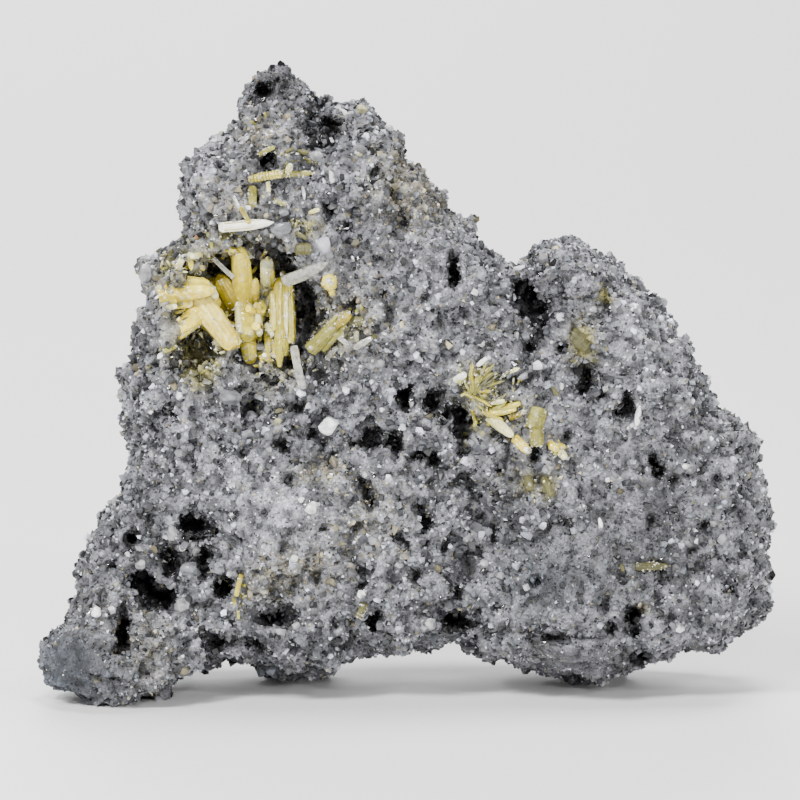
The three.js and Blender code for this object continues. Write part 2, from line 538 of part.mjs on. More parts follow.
// A big block that lies outside one broken face. The face clears the whole rim by a margin.
function breakBlock([right, up, rear, extra]) {
  const normal = new THREE.Vector3(right, rear, up).normalize();
  const rimReach = Math.max(...RIM.map(([x, h, y]) => place(x, h, y).dot(normal)));
  const block = new THREE.BoxGeometry(2 * FAR, 2 * FAR, 2 * FAR);
  block.translate(0, 0, FAR + rimReach + BREAK_MARGIN + extra);
  const turn = new THREE.Quaternion().setFromUnitVectors(new THREE.Vector3(0, 0, 1), normal);
  block.applyQuaternion(turn);
  return solidOf(block);
}

// A rough ball pressed to size.
function nugget(middle, halfWidth, halfHeight, halfDepth, turn, detail) {
  const ball = new THREE.IcosahedronGeometry(1, detail);
  ball.deleteAttribute("normal");
  ball.deleteAttribute("uv");
  const rough = mergeVertices(ball, 1e-4);
  const corners = rough.attributes.position;
  for (let i = 0; i < corners.count; i++) {
    const luck = chance(i, Math.round(middle.x * 10), Math.round(middle.z * 10));
    const stretch = 1 + NUGGET_ROUGHNESS * (luck - 0.5);
    const corner = new THREE.Vector3().fromBufferAttribute(corners, i).multiplyScalar(stretch);
    corners.setXYZ(i, ...corner);
  }
  rough.scale(halfWidth, halfDepth, halfHeight);
  rough.rotateY(-THREE.MathUtils.degToRad(turn));
  rough.translate(middle.x, middle.y, middle.z);
  return solidOf(rough);
}

function buildUncutLump() {
  const feet = FEET.map(([x, h, y, halfWidth, halfHeight, halfDepth]) =>
    nugget(place(x, h, y), halfWidth, halfHeight, halfDepth, 0, 1),
  );
  const floor = new THREE.BoxGeometry(2 * FAR, 2 * FAR, 2 * FAR);
  floor.translate(0, 0, -FAR);
  const broken = lumpBody().subtract(join(BREAKS.map(breakBlock)));
  return largestBody(broken.add(join(feet)).subtract(solidOf(floor)));
}

const uncutLump = buildUncutLump();
const uncutMesh = new THREE.Mesh(geometryOf(uncutLump));

// A place on the front of the uncut lump, or out of it by so much towards the viewer.
function onFront(x, h, out) {
  const [hit] = new THREE.Raycaster(place(x, h, -FAR), SIGHT_LINE).intersectObject(uncutMesh);
  return hit.point.addScaledVector(SIGHT_LINE, -out);
}

// A pit of the front, drawn in all round by shrink.
function hollow([x, h, halfWidth, halfHeight, halfDepth, turn], shrink) {
  const halves = [halfWidth, halfHeight, halfDepth].map((half) => Math.max(half - shrink, 0.1));
  return nugget(onFront(x, h, 0), ...halves, turn, halfWidth > FINE_NUGGET ? 1 : 0);
}

function quartzGrain([x, h, halfWidth, halfHeight, turn]) {
  return nugget(onFront(x, h, 0.15), halfWidth, halfHeight, 0.7, turn, 0);
}

// Small quartz points scattered over the front, each a short six-sided crystal.
function quartzPoints() {
  const found = [];
  for (let i = 0; found.length < QUARTZ_POINTS; i++) {
    const x = QUARTZ_FIELD.x + QUARTZ_FIELD.width * chance(i, 3, 11);
    const h = QUARTZ_FIELD.h + QUARTZ_FIELD.height * chance(i, 5, 12);
    if (!insideRim(x, h) || inset(x, h) < QUARTZ_FIELD.fromRim) continue;
    const tipX = x + QUARTZ_LEAN * (2 * chance(i, 7, 13) - 1);
    const tipH = h + QUARTZ_LEAN * (2 * chance(i, 9, 14) - 1);
    const wide = QUARTZ_WIDTH.least + QUARTZ_WIDTH.spread * chance(i, 11, 15);
    found.push(crystal({ ends: [[x, h, -0.5], [tipX, tipH, 0.7]], wide, habit: "point", roll: i * 17 }, 0));
  }
  return found;
}

// ---- crystals ----------------------------------------------------------------------------
// A six-sided crystal between two ends, made larger all round by grow.
function crystal({ ends, wide, habit, roll }, grow) {
  const [from, to] = ends.map((end) => onFront(...end));
  const axis = to.clone().sub(from);
  const length = axis.length();
  axis.normalize();
  const sideways = SIGHT_LINE.clone().cross(axis).normalize();
  const outward = axis.clone().cross(sideways);
  const points = [];
  const loops = HABITS[habit].map(([share, thickness]) => {
    const middle = from.clone().addScaledVector(axis, -grow + share * (length + 2 * grow));
    const radius = (wide / 2) * thickness + grow;
    return Array.from({ length: 6 }, (_, side) => {
      const angle = THREE.MathUtils.degToRad(roll + side * 60);
      const corner = middle.clone().addScaledVector(sideways, radius * Math.cos(angle));
      return points.push(corner.addScaledVector(outward, radius * Math.sin(angle))) - 1;
    });
  });
  const triangles = [];
  for (let i = 1; i < loops.length; i++) triangles.push(...band(loops[i - 1], loops[i]));
  triangles.push(...cap(loops[0]).map(([a, b, c]) => [c, b, a]), ...cap(loops.at(-1)));
  return solidFrom(points, triangles);
}

function cap(loop) {
  return [1, 2, 3, 4].map((i) => [loop[0], loop[i], loop[i + 1]]);
}

// ---- assembly ----------------------------------------------------------------------------
const specimen = new THREE.Group();

function addPiece(name, solid, finish) {
  const material = new THREE.MeshStandardMaterial({ ...FINISHES[finish], flatShading: true });
  const mesh = new THREE.Mesh(geometryOf(solid), material);
  mesh.name = name;
  specimen.add(mesh);
}

// The rock with its pits, and the same rock with SEAT_GAP more on its front, which the crystals
// are cut back to.
const pits = Object.values(HOLLOWS).flat();
const carved = uncutLump.subtract(join(pits.map((row) => hollow(row, 0))));
const tightHollows = join(HOLLOWS.vug.map((row) => hollow(row, SEAT_GAP)));
const keepOut = uncutLump.translate([0, -SEAT_GAP, 0]).subtract(tightHollows);

// The crust that lines the two deep hollows of the vug and carries its crystals.
function vugLining() {
  const [outside, inside] = [SEAT_GAP, SEAT_GAP + CRUST].map((shrink) =>
    join(HOLLOWS.vug.slice(0, 2).map((row) => hollow(row, shrink))),
  );
  return outside.intersect(uncutLump.translate([0, CRUST_EDGE, 0])).subtract(inside);
}

// Each cluster is cut back to the rock and to the clusters before it.
const taken = [];
for (const { name, finish, lining, crystals } of CLUSTERS) {
  const grown = join(crystals.map((one) => crystal(one, 0)));
  const whole = lining ? grown.add(vugLining()) : grown;
  const cut = taken.reduce((rest, earlier) => rest.subtract(earlier), whole.subtract(keepOut));
  addPiece(name, largestBody(cut), finish);
  taken.push(join(crystals.map((one) => crystal(one, SEAT_GAP))));
}

// Quartz is fused to the rock wherever no mimetite stands in its way.
const quartz = [...QUARTZ_GRAINS.map(quartzGrain), ...quartzPoints()].filter((lump) =>
  taken.every((cluster) => cluster.intersect(lump).isEmpty()),
);
addPiece("quartz_matrix", largestBody(carved.add(join(quartz))), "rock");

export default specimen;
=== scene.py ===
# %% [markdown]
# # Mimetite crystals on drusy quartz
# The object is a hand specimen: a lump of grey quartz rock with a small hollow, a vug, in
# which yellow mimetite crystals stand. Mimetite is a lead mineral that grows as six-sided
# barrels and spindles. The rock is druse: its whole skin is made of tiny quartz crystals, and
# those grains, their glints and the black gaps between them are what the eye reads as rock.
#
# One could paint grains with a bump texture, but a texture has no outline and casts no
# shadow. So this lesson grows the grains as real mesh, from arrays. It goes in four steps: a
# fine skin over the frame's lump, the large crystals in and around the vug, the small and the
# clear ones, and last the grains, sown wherever the skin is still free. The frame comes
# first, because every piece is set against it.

# %% Load the frame
import math

import bpy
import numpy as np
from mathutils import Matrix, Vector, noise
from mathutils.bvhtree import BVHTree


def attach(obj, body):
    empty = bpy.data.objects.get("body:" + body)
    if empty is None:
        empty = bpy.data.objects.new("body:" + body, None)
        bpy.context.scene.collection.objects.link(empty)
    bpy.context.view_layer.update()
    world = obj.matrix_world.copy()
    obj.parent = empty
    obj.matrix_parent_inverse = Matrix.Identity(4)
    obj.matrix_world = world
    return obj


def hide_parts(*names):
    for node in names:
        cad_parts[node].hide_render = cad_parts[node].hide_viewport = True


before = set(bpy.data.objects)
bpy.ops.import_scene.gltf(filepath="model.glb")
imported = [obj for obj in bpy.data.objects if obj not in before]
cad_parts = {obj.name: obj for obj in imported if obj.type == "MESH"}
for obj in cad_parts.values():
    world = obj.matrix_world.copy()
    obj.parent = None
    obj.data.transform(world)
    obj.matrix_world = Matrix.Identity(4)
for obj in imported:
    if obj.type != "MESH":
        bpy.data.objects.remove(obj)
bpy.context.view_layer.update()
MM = 0.001

# %% [markdown]
# ## Places
# The specimen is looked at from 9 degrees above the horizon, as on a shelf. A place on it is
# written as x (across), h (height, read along that slanting sight line) and depth (away from
# the viewer), all in millimetres. Numbers noted like this can be compared with what the
# camera sees, and a crystal can be moved in depth without leaving its spot in the view.

# %% Places along the sight line
SIGHT = math.radians(9)
MIDDLE_DEPTH = 1.35  # the depth that lies at Y = 0
SIGHT_LINE = Vector((0, math.cos(SIGHT), -math.sin(SIGHT)))
BEFORE = -60.0  # a depth in front of everything


def place(x, h, depth):
    height = (h - depth * math.sin(SIGHT)) / math.cos(SIGHT)
    return Vector((x, depth - MIDDLE_DEPTH, height))


def sight_heights(points):
    """h of each row of an array of points."""
    return points[:, 2] * math.cos(SIGHT) + (points[:, 1] + MIDDLE_DEPTH) * math.sin(SIGHT)


def blobs(spots, x, h):
    """Sum of soft round spots (x, h, half-width, half-height, weight) at arrays of places."""
    total = np.zeros_like(x)
    for cx, ch, half_width, half_height, weight in spots:
        total += weight * np.exp(-(((x - cx) / half_width) ** 2) - ((h - ch) / half_height) ** 2)
    return total


print("looking along", [round(v, 3) for v in SIGHT_LINE])

# %% [markdown]
# ## Camera
# A short lens close by would swell what is near. This camera stands 2.4 metres away behind a
# very long lens, which keeps the lump's proportions. It frames a field 60 mm wide.

# %% Make the camera
FIELD = 60.0  # width of the view at the lump, in mm
DISTANCE = 2400.0
SENSOR = 36.0
aim = place(-0.49, 21.75, 0)  # the middle of the view

camera_data = bpy.data.cameras.new("camera")
camera_data.sensor_width = SENSOR
camera_data.lens = SENSOR * DISTANCE / FIELD
camera_data.clip_start = 0.01
camera_data.clip_end = 10
camera = bpy.data.objects.new("camera", camera_data)
camera.location = (aim - SIGHT_LINE * DISTANCE) * MM
camera.rotation_euler = SIGHT_LINE.to_track_quat("-Z", "Y").to_euler()
bpy.context.scene.collection.objects.link(camera)
bpy.context.scene.camera = camera
print("lens in mm:", camera_data.lens)

# %% [markdown]
# ## Shader maths
# A material is a graph of nodes. Written out node by node it hides its own idea, so a small
# class wraps a node's output and lets Python's operators add the Math nodes: `1 - mask` then
# reads as it would on paper. Every other node comes from one method, `node`.

# %% A wire between nodes


class Wire:
    """An output socket of a material's tree that can stand in an expression."""

    def __init__(self, tree, socket=None):
        self.tree = tree
        self.socket = socket

    def node(self, kind, settings=None, inputs=None, output=0):
        made = self.tree.nodes.new(kind)
        for name, value in (settings or {}).items():
            if name == "stops":
                self.set_stops(made.color_ramp, value)
            else:
                setattr(made, name, value)
        for name, value in (inputs or {}).items():
            self.feed(made.inputs[name], value)
        return Wire(self.tree, made.outputs[output])

    def set_stops(self, ramp, stops):
        while len(ramp.elements) < len(stops):
            ramp.elements.new(1.0)
        for element, (position, value) in zip(ramp.elements, stops):
            element.position = position
            element.color = (value, value, value, 1)

    def feed(self, socket, value):
        if isinstance(value, Wire):
            self.tree.links.new(value.socket, socket)
        else:
            socket.default_value = value

    def maths(self, operation, first, second):
        return self.node("ShaderNodeMath", {"operation": operation}, {0: first, 1: second})

    def __add__(self, other):
        return self.maths("ADD", self, other)

    def __sub__(self, other):
        return self.maths("SUBTRACT", self, other)

    def __rsub__(self, other):
        return self.maths("SUBTRACT", other, self)

    def __mul__(self, other):
        return self.maths("MULTIPLY", self, other)

    __radd__ = __add__
    __rmul__ = __mul__

    def scaled(self, factor):
        """This colour times a number or a wire of numbers."""
        inputs = {0: self, "Scale": factor}
        return self.node("ShaderNodeVectorMath", {"operation": "SCALE"}, inputs)


def new_material(name):
    """A material with a Principled shader, and a wire to start its tree from."""
    material = bpy.data.materials.new(name)
    material.use_nodes = True
    tree = material.node_tree
    start = Wire(tree)
    return material, start, tree.nodes["Principled BSDF"]


print("operators ready")

# %% [markdown]
# ## Pieces from arrays
# Tens of thousands of grains are too many to make one object at a time. NumPy works out all
# their points at once, and one call hands them to Blender as a mesh. Each piece also gets a
# map named OFBake, in which every grain has its own cell, so that a bake of the finish has
# room for each of them.

# %% Turn arrays into a piece
MAP = "OFBake"


def make_piece(name, points, faces, tint, map_places, gloss=None, smooth=False):
    """An object made of a mesh. Points are in mm; faces are rows of indices; tint is a colour per
    point, gloss a roughness per point, and map_places a place in the map per face corner."""
    mesh = bpy.data.meshes.new(name)
    faces = np.asarray(faces)
    corners = faces.size
    mesh.vertices.add(len(points))
    mesh.vertices.foreach_set("co", (np.asarray(points) * MM).astype(np.float32).ravel())
    mesh.loops.add(corners)
    mesh.loops.foreach_set("vertex_index", faces.astype(np.int32).ravel())
    mesh.polygons.add(len(faces))
    mesh.polygons.foreach_set("loop_start", np.arange(0, corners, faces.shape[1], dtype=np.int32))
    mesh.polygons.foreach_set("use_smooth", np.full(len(faces), smooth))
    mesh.update(calc_edges=True)
    colours = np.ones((len(points), 4), np.float32)
    colours[:, :3] = tint
    mesh.attributes.new("tint", "FLOAT_COLOR", "POINT").data.foreach_set("color", colours.ravel())
    if gloss is not None:
        roughness = np.asarray(gloss, np.float32)
        mesh.attributes.new("gloss", "FLOAT", "POINT").data.foreach_set("value", roughness)
    map_layer = mesh.uv_layers.new(name=MAP)
    map_layer.data.foreach_set("uv", np.asarray(map_places, np.float32).ravel())
    piece = bpy.data.objects.new(name, mesh)
    bpy.context.scene.collection.objects.link(piece)
    return piece


def settle(piece, material, slot, *nodes):
    """Gives a piece its material and its body, and hides the frame's nodes that it stands for."""
    piece.data.materials.append(material)
    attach(piece, "root")
    if nodes:
        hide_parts(*nodes)


print("map name:", MAP)

# %% [markdown]
# ## The rock's skin
# Druse grows in cauliflower lumps: knobs one to three millimetres wide with creases between
# them, and small black pits where no lump grew. The frame's lump has the large forms only.
# Its skin is remade with an even net of small squares (a voxel remesh), and each point then
# moves along its normal. Voronoi noise is right for the knobs: one minus the squared
# distance to a cell's middle makes a dome, and where two domes meet there is a sharp crease.

# %% Remesh the lump
NET = 0.3  # width of a square of the skin


def fine_copy(node, width):
    """Points and square faces of an evenly remeshed copy of a node, in mm."""
    copy = bpy.data.objects.new("skin", node.data.copy())
    bpy.context.scene.collection.objects.link(copy)
    modifier = copy.modifiers.new("net", "REMESH")
    modifier.mode = "VOXEL"
    modifier.voxel_size = width * MM
    mesh = copy.evaluated_get(bpy.context.evaluated_depsgraph_get()).to_mesh()
    points = np.empty(len(mesh.vertices) * 3, np.float32)
    mesh.vertices.foreach_get("co", points)
    faces = np.empty(len(mesh.polygons) * 4, np.int32)
    mesh.polygons.foreach_get("vertices", faces)
    bpy.data.objects.remove(copy)
    return points.reshape(-1, 3).astype(float) / MM, faces.reshape(-1, 4)


def normals_of(points, faces):
    """A unit normal at each point of a net of squares."""
    corner = points[faces]
    across = np.cross(corner[:, 2] - corner[:, 0], corner[:, 3] - corner[:, 1])
    sums = np.zeros_like(points)
    for k in range(4):
        np.add.at(sums, faces[:, k], across)
    return sums / np.maximum(np.linalg.norm(sums, axis=1), 1e-9)[:, None]


skin, squares = fine_copy(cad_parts["quartz_matrix"], NET)
print("skin points:", len(skin), "triangles:", 2 * len(squares))

# %% [markdown]
# Some places are calm, with hardly a grain: the nodule of the left foot, the ledge at the
# lower right, the peak and a few smaller spots. There the stone shows flat layers instead.
# Others are only quiet: their lumps are lower and their pits fewer. Both are numbers from 0
# to 1 at each point. Last, a few swells and hollows of the outline that are too small for the
# frame are noted with their rise in millimetres. The vector noise that bends the lumps takes
# its offsets from a seed, and from the clock if none is set.

# %% Note calm places, quiet places and swells
CALM = [
    # x, h, half-width, half-height, strength
    (-25.4, 1.5, 2.6, 2.4, 0.9), (12.6, 2.2, 3.8, 1.4, 0.8), (-9.6, 45.8, 2.2, 1.5, 0.6),
    (-24.0, 4.0, 1.8, 1.4, 0.4), (-19.2, 2.2, 1.8, 2.6, 0.4), (-12.0, 23.6, 1.0, 1.2, 0.5),
    (-9.0, 13.0, 3.0, 3.0, 0.4),
]
QUIET = [
    (18.0, 13.0, 8.0, 8.0, 0.75), (11.0, 5.0, 6.0, 3.4, 0.5), (-9.5, 13.0, 3.6, 3.6, 0.4),
    (2.5, 29.5, 4.0, 4.5, 0.35), (17.35, 20.4, 0.9, 1.4, 1.0), (10.4, 8.2, 3.2, 2.2, 0.5),
    (14.0, 29.0, 5.0, 3.5, 0.3), (-15.0, 37.5, 3.0, 3.0, 0.3),
]
SWELLS = [
    # x, h, half-width, half-height, rise
    (-11.2, 46.0, 0.7, 0.7, 0.4), (-12.3, 44.1, 0.8, 0.9, 0.5), (-3.1, 43.7, 0.9, 0.7, 0.3),
    (-10.9, 46.6, 0.6, 0.6, 0.4), (-9.9, 47.5, 1.5, 0.7, -0.9),
    (-8.2, 46.4, 0.8, 0.7, -0.3), (27.6, 11.5, 1.0, 5.0, -0.3),
    (-19.8, 31.3, 0.8, 1.1, 0.3), (9.4, 33.2, 0.9, 0.8, 0.3), (15.2, 32.0, 1.2, 1.0, 0.35),
    (17.4, 30.2, 1.0, 1.2, 0.35), (26.1, 18.3, 0.9, 1.5, 0.35), (-27.1, 3.4, 0.8, 1.4, 0.3),
    (-20.6, 25.2, 0.7, 0.6, 0.5), (-1.6, 42.8, 0.8, 0.7, -0.45), (22.4, 23.7, 1.0, 1.2, -0.5),
    (23.7, 21.5, 0.8, 0.8, -0.4), (-23.7, 12.4, 0.8, 0.9, -0.5), (-22.5, 14.0, 0.8, 0.8, -0.5),
    (7.4, 32.7, 0.9, 0.7, -0.4), (5.9, 33.8, 0.8, 0.8, -0.4), (12.3, 34.1, 1.0, 0.6, -0.4),
    (-17.1, 35.6, 0.6, 1.2, -0.4), (0.1, 40.5, 0.7, 1.0, -0.4), (-18.3, 8.3, 0.9, 0.5, 0.9),
]
print("calm, quiet, swells:", len(CALM), len(QUIET), len(SWELLS))

# %% Raise lumps, knobs and swells
LUMP, KNOB, SWELL = 2.3, 0.95, 5.0  # widths of the three sizes of relief
LUMP_RISE, KNOB_RISE, SWELL_RISE = 0.78, 0.36, 0.5
LUMP_FLOOR, KNOB_FLOOR = -0.9, -0.8  # the lowest that a crease may be
DOME_REACH = 0.62  # how far from its middle a dome reaches, in widths
EVEN = 0.45  # the part of a dome's height that stays where the skin was
KNOB_SHIFT = Vector((7, 3, 5))  # keeps knobs from lining up with lumps
WARP, WARP_WIDTH = 0.35, 0.8  # how far borders are bent, and the width of a bend
CALM_LOSS, QUIET_LOSS = 0.85, 0.6  # the share of its relief that such a place loses
LAYER, LAYER_RISE = Vector((1.6, 1.6, 0.4)), 0.3  # size and relief of the layers of calm places
LAYER_NOISE = (0.7, 2.2, 3)  # roughness, how much finer each octave is, and the octaves
FRONT_TO = 0.5  # the front ends at this Y
NOISE_SEED = 4

noise.seed_set(NOISE_SEED)


def dome(point, width):
    """1 at a Voronoi cell's middle, near 0 or below on its border."""
    near = noise.voronoi(point / width)[0][0]
    return 1 - (near / DOME_REACH) ** 2


def raised(points):
    """How far each point moves outwards before calm places are allowed for."""
    rise = np.empty(len(points))
    for i, row in enumerate(points):
        point = Vector(row)
        bend = WARP * noise.noise_vector(point / WARP_WIDTH)
        lump = dome(point + bend, LUMP) - EVEN
        knob = dome(point + 0.5 * bend + KNOB_SHIFT, KNOB) - EVEN
        rise[i] = LUMP_RISE * max(lump, LUMP_FLOOR) + KNOB_RISE * max(knob, KNOB_FLOOR)
        rise[i] += SWELL_RISE * noise.noise(point / SWELL)
    return rise


def layers(points):
    """-1 to 1: flat lying streaks, as in layered stone."""
    flattened = ([a / b for a, b in zip(point, LAYER)] for point in points)
    return np.array([noise.fractal(point, *LAYER_NOISE) for point in flattened])


front = skin[:, 1] < FRONT_TO
skin_x, skin_h = skin[:, 0], sight_heights(skin)
calm = np.clip(blobs(CALM, skin_x, skin_h), 0, 1) * front
quiet = np.clip(blobs(QUIET, skin_x, skin_h), 0, 1) * front
streak = layers(skin)
rise = raised(skin) * (1 - CALM_LOSS * calm) * (1 - QUIET_LOSS * quiet)
rise += LAYER_RISE * calm * streak
rise += blobs(SWELLS, skin_x, skin_h)
skin = skin + normals_of(skin, squares) * rise[:, None]
print("relief in mm:", round(rise.min(), 2), round(rise.max(), 2))

# %% [markdown]
# The pits are of two kinds. The ones that catch the eye are noted one by one and pushed
# straight back along the sight line, like a drilled hole; the crack above the ledge is made
# in the same way. A noise makes the many others, on all sides: wherever it rises over a
# threshold, the skin sinks. A second, slower noise moves the threshold, so that the pits come
# in swarms. Between deep pits a sliver of skin can be left standing like a spike, so what
# stands out far from its neighbours is pulled back to them.

# %% Note the pits
PITS = [
    # x, h, half-width, half-height, depth
    (-10.7, 44.9, 0.6, 0.5, 2.6), (-10.4, 39.5, 0.6, 0.7, 2.0), (-7.1, 42.3, 0.4, 1.4, 1.6),
    (-5.4, 42.1, 1.1, 0.5, 1.6), (-6.7, 40.7, 0.9, 0.3, 1.2), (-4.1, 43.6, 0.7, 0.35, 1.0),
    (-6.5, 44.1, 0.9, 0.45, 1.0), (0.0, 21.8, 0.4, 0.8, 2.2), (1.8, 21.6, 0.45, 0.6, 2.2),
    (3.0, 20.8, 0.6, 0.35, 1.6), (4.0, 20.5, 0.4, 1.1, 2.2), (4.1, 19.1, 0.35, 1.2, 1.8),
    (1.2, 17.6, 0.5, 0.4, 1.8), (2.2, 17.0, 0.5, 0.3, 1.6), (9.3, 25.7, 0.35, 0.45, 1.8),
    (11.6, 25.7, 0.4, 0.3, 1.6), (13.4, 23.7, 0.3, 0.5, 1.6), (13.2, 22.6, 0.3, 0.7, 1.6),
    (14.7, 22.0, 0.3, 0.6, 1.6), (16.3, 21.4, 0.28, 0.35, 1.2), (9.6, 17.8, 0.35, 0.7, 1.8),
    (12.0, 19.0, 0.3, 0.45, 1.4), (3.5, 15.5, 0.5, 0.3, 1.2), (4.8, 15.4, 0.35, 0.4, 1.2),
    (7.0, 16.4, 0.3, 0.4, 1.2), (9.7, 15.8, 0.3, 0.35, 1.2), (-9.3, 18.4, 0.7, 0.45, 1.4),
    (-1.0, 18.6, 0.5, 0.45, 1.8), (18.9, 16.4, 0.35, 0.5, 1.6), (18.5, 17.2, 0.3, 0.6, 1.4),
    (20.0, 15.7, 0.35, 0.3, 1.4), (23.3, 15.8, 0.3, 0.3, 1.2), (18.2, 12.7, 0.3, 0.5, 1.4),
    (22.3, 12.3, 0.3, 0.45, 1.2), (21.4, 10.5, 0.3, 0.3, 1.0), (16.9, 5.0, 0.55, 0.9, 2.6),
    (15.4, 4.6, 0.4, 0.35, 1.6), (25.7, 6.9, 0.35, 0.4, 1.2), (17.4, 2.4, 0.8, 0.5, 1.4),
    (-21.2, 4.4, 0.35, 1.8, 2.2), (-20.5, 11.3, 0.5, 0.6, 1.8), (-15.7, 12.2, 1.1, 0.8, 2.2),
    (-17.6, 9.8, 0.5, 1.0, 1.8), (-15.0, 9.6, 0.5, 1.2, 1.8), (-13.9, 7.8, 0.5, 1.0, 1.8),
    (-24.1, 3.9, 0.25, 0.35, 0.8), (-3.4, 15.7, 0.35, 0.5, 2.0), (-3.0, 14.9, 0.4, 0.7, 2.2),
    (-11.6, 21.0, 0.45, 1.4, 1.6), (-8.0, 21.2, 0.6, 0.5, 1.4), (8.3, 30.6, 0.5, 1.2, 1.8),
    (3.5, 31.6, 0.4, 1.5, 1.6), (-2.6, 14.1, 0.35, 0.6, 1.8), (-6.9, 19.4, 0.35, 0.5, 1.6),
    (-10.2, 5.3, 1.0, 0.4, 1.8), (3.6, 5.0, 1.0, 0.6, 1.8), (-2.2, 5.2, 0.5, 0.8, 1.6),
    (6.6, 11.8, 0.4, 0.9, 1.2), (9.6, 8.2, 0.5, 0.4, 1.2), (1.0, 13.7, 0.35, 0.5, 1.8),
    (1.5, 12.9, 0.35, 0.5, 1.8), (-6.2, 18.5, 0.35, 0.5, 1.8), (-5.5, 17.7, 0.35, 0.5, 1.8),
    (1.35, 11.0, 0.4, 0.3, 1.2), (0.8, 8.7, 0.35, 0.4, 1.4), (4.7, 9.5, 0.25, 0.8, 1.2),
    (3.9, 7.3, 0.4, 0.5, 1.4), (-6.7, 8.6, 0.25, 0.5, 1.2), (-5.4, 5.2, 0.3, 0.6, 1.4),
    (-12.2, 17.9, 0.25, 0.35, 1.2), (-8.6, 16.1, 0.3, 0.3, 1.0), (-11.6, 16.1, 0.25, 0.3, 1.0),
    # a crack above the ledge
    (9.2, 4.4, 1.0, 0.13, 0.8), (11.2, 3.95, 1.3, 0.13, 0.8), (13.5, 4.0, 1.4, 0.13, 0.8),
]
print("noted pits:", len(PITS))

# %% Sink the pits
PIT_STEEP, PIT_RIM = 1.7, 0.25  # steepness of a noted pit's wall, and how much rim is cut off
FACING = -0.35  # a noted pit sinks only what faces the viewer at least so much
SUNK_DEPTH, SUNK_WIDTH, SUNK_FROM, SUNK_STEEP = 1.1, 1.2, 0.32, 3.5
SUNK_SHIFT, SUNK_NOISE = Vector((3, 1, 4)), (0.8, 2.1, 3)
SWARM, SWARM_WIDTH = 0.3, 4.5  # how far the slow noise moves the threshold, and its size
QUIET_PITS = 0.75  # the share of its pits that a quiet place loses
SPIKE = 0.22  # a point that stands out farther than this, in mm, is a spike


def pit_shares(points):
    """How deep each point of the front sinks in the noted pits, and its share of a pit."""
    x, h = points[:, 0], sight_heights(points)
    depth, share = np.zeros(len(points)), np.zeros(len(points))
    for cx, ch, half_width, half_height, deep in PITS:
        inside = np.exp(-(((x - cx) / half_width) ** 2) - ((h - ch) / half_height) ** 2)
        inside = np.clip(PIT_STEEP * inside - PIT_RIM, 0, 1)
        depth = np.maximum(depth, deep * inside)
        share = np.maximum(share, inside)
    return depth, share


def sunk_shares(points):
    """0 to 1: how far the noise sinks each point."""
    shares = np.empty(len(points))
    for i, row in enumerate(points):
        point = Vector(row)
        shares[i] = noise.fractal(point / SUNK_WIDTH + SUNK_SHIFT, *SUNK_NOISE)
        shares[i] += SWARM * noise.noise(point / SWARM_WIDTH)
    return np.clip((shares - SUNK_FROM) * SUNK_STEEP, 0, 1)


def without_spikes(points, faces):
    """Pulls a point back to its neighbours' middle where it stands far out from them."""
    sums, counts = np.zeros_like(points), np.zeros(len(points))
    for k in range(4):
        for other in (faces[:, k - 1], faces[:, (k + 1) % 4]):
            np.add.at(sums, faces[:, k], points[other])
            np.add.at(counts, faces[:, k], 1)
    pull = sums / counts[:, None] - points
    far = np.linalg.norm(pull, axis=1)
    share = np.clip((far - SPIKE) / SPIKE, 0, 1)
    return points + pull * share[:, None]


sunk = sunk_shares(skin) * (1 - calm) * (1 - QUIET_PITS * quiet)
facing = normals_of(skin, squares)[:, 1] < FACING
pit_depth, pit = pit_shares(skin)
pit_depth, pit = pit_depth * facing, pit * facing
skin = skin - normals_of(skin, squares) * (SUNK_DEPTH * sunk * (1 - pit))[:, None]
skin = skin + np.array(SIGHT_LINE) * pit_depth[:, None]
skin = without_spikes(skin, squares)
skin[:, 2] = np.maximum(skin[:, 2], 0)
print("share of the skin in pits:", round(float((np.maximum(sunk, pit) > 0.5).mean()), 2))

# %% [markdown]
# Hollows, creases and pits get painted shade: the more hidden a place, the darker its tint. To
# know those places, a few short rays start from each point of the skin; the more of them hit
# rock again, the more hidden it is.

# %% Measure how hidden each point is
RAYS, RAY_REACH = 9, 2.4
RAY_SPREAD, RAY_LIFT = 0.9, 0.08  # how far rays lean out, and how high over the skin they start
GOLDEN_ANGLE = 2.399963  # turning by it spreads the rays evenly
UPRIGHT = 0.9  # a way that rises more than this needs another helper than the Z axis
skin_normals = normals_of(skin, squares)
rock_tree = BVHTree.FromPolygons([Vector(p) for p in skin], squares.tolist())


def unit(vectors):
    return vectors / np.linalg.norm(vectors, axis=1)[:, None]


def square_to(ways):
    """Two directions at right angles to each way and to each other."""
    helper = np.where(np.abs(ways[:, 2:3]) < UPRIGHT, [[0.0, 0.0, 1.0]], [[1.0, 0.0, 0.0]])
    side = unit(np.cross(helper, ways))
    return side, np.cross(ways, side)


def hidden_shares(points, normals):
    """Share of short rays from each point that hit the rock, near hits counting most."""
    turns = np.arange(RAYS) * GOLDEN_ANGLE
    tilt = np.sqrt((np.arange(RAYS) + 0.5) / RAYS) * RAY_SPREAD
    ways = np.stack([np.cos(turns) * tilt, np.sin(turns) * tilt, np.sqrt(1 - tilt**2)], axis=1)
    side, across = square_to(normals)
    hidden = np.zeros(len(points))
    starts = points + normals * RAY_LIFT
    for way in ways:
        directions = side * way[0] + across * way[1] + normals * way[2]
        for i, (start, direction) in enumerate(zip(starts.tolist(), directions.tolist())):
            distance = rock_tree.ray_cast(start, direction, RAY_REACH)[3]
            if distance is not None:
                hidden[i] += 1 - 0.5 * distance / RAY_REACH
    return hidden / RAYS


hidden = hidden_shares(skin, skin_normals)
print("mean share hidden:", round(float(hidden.mean()), 3))
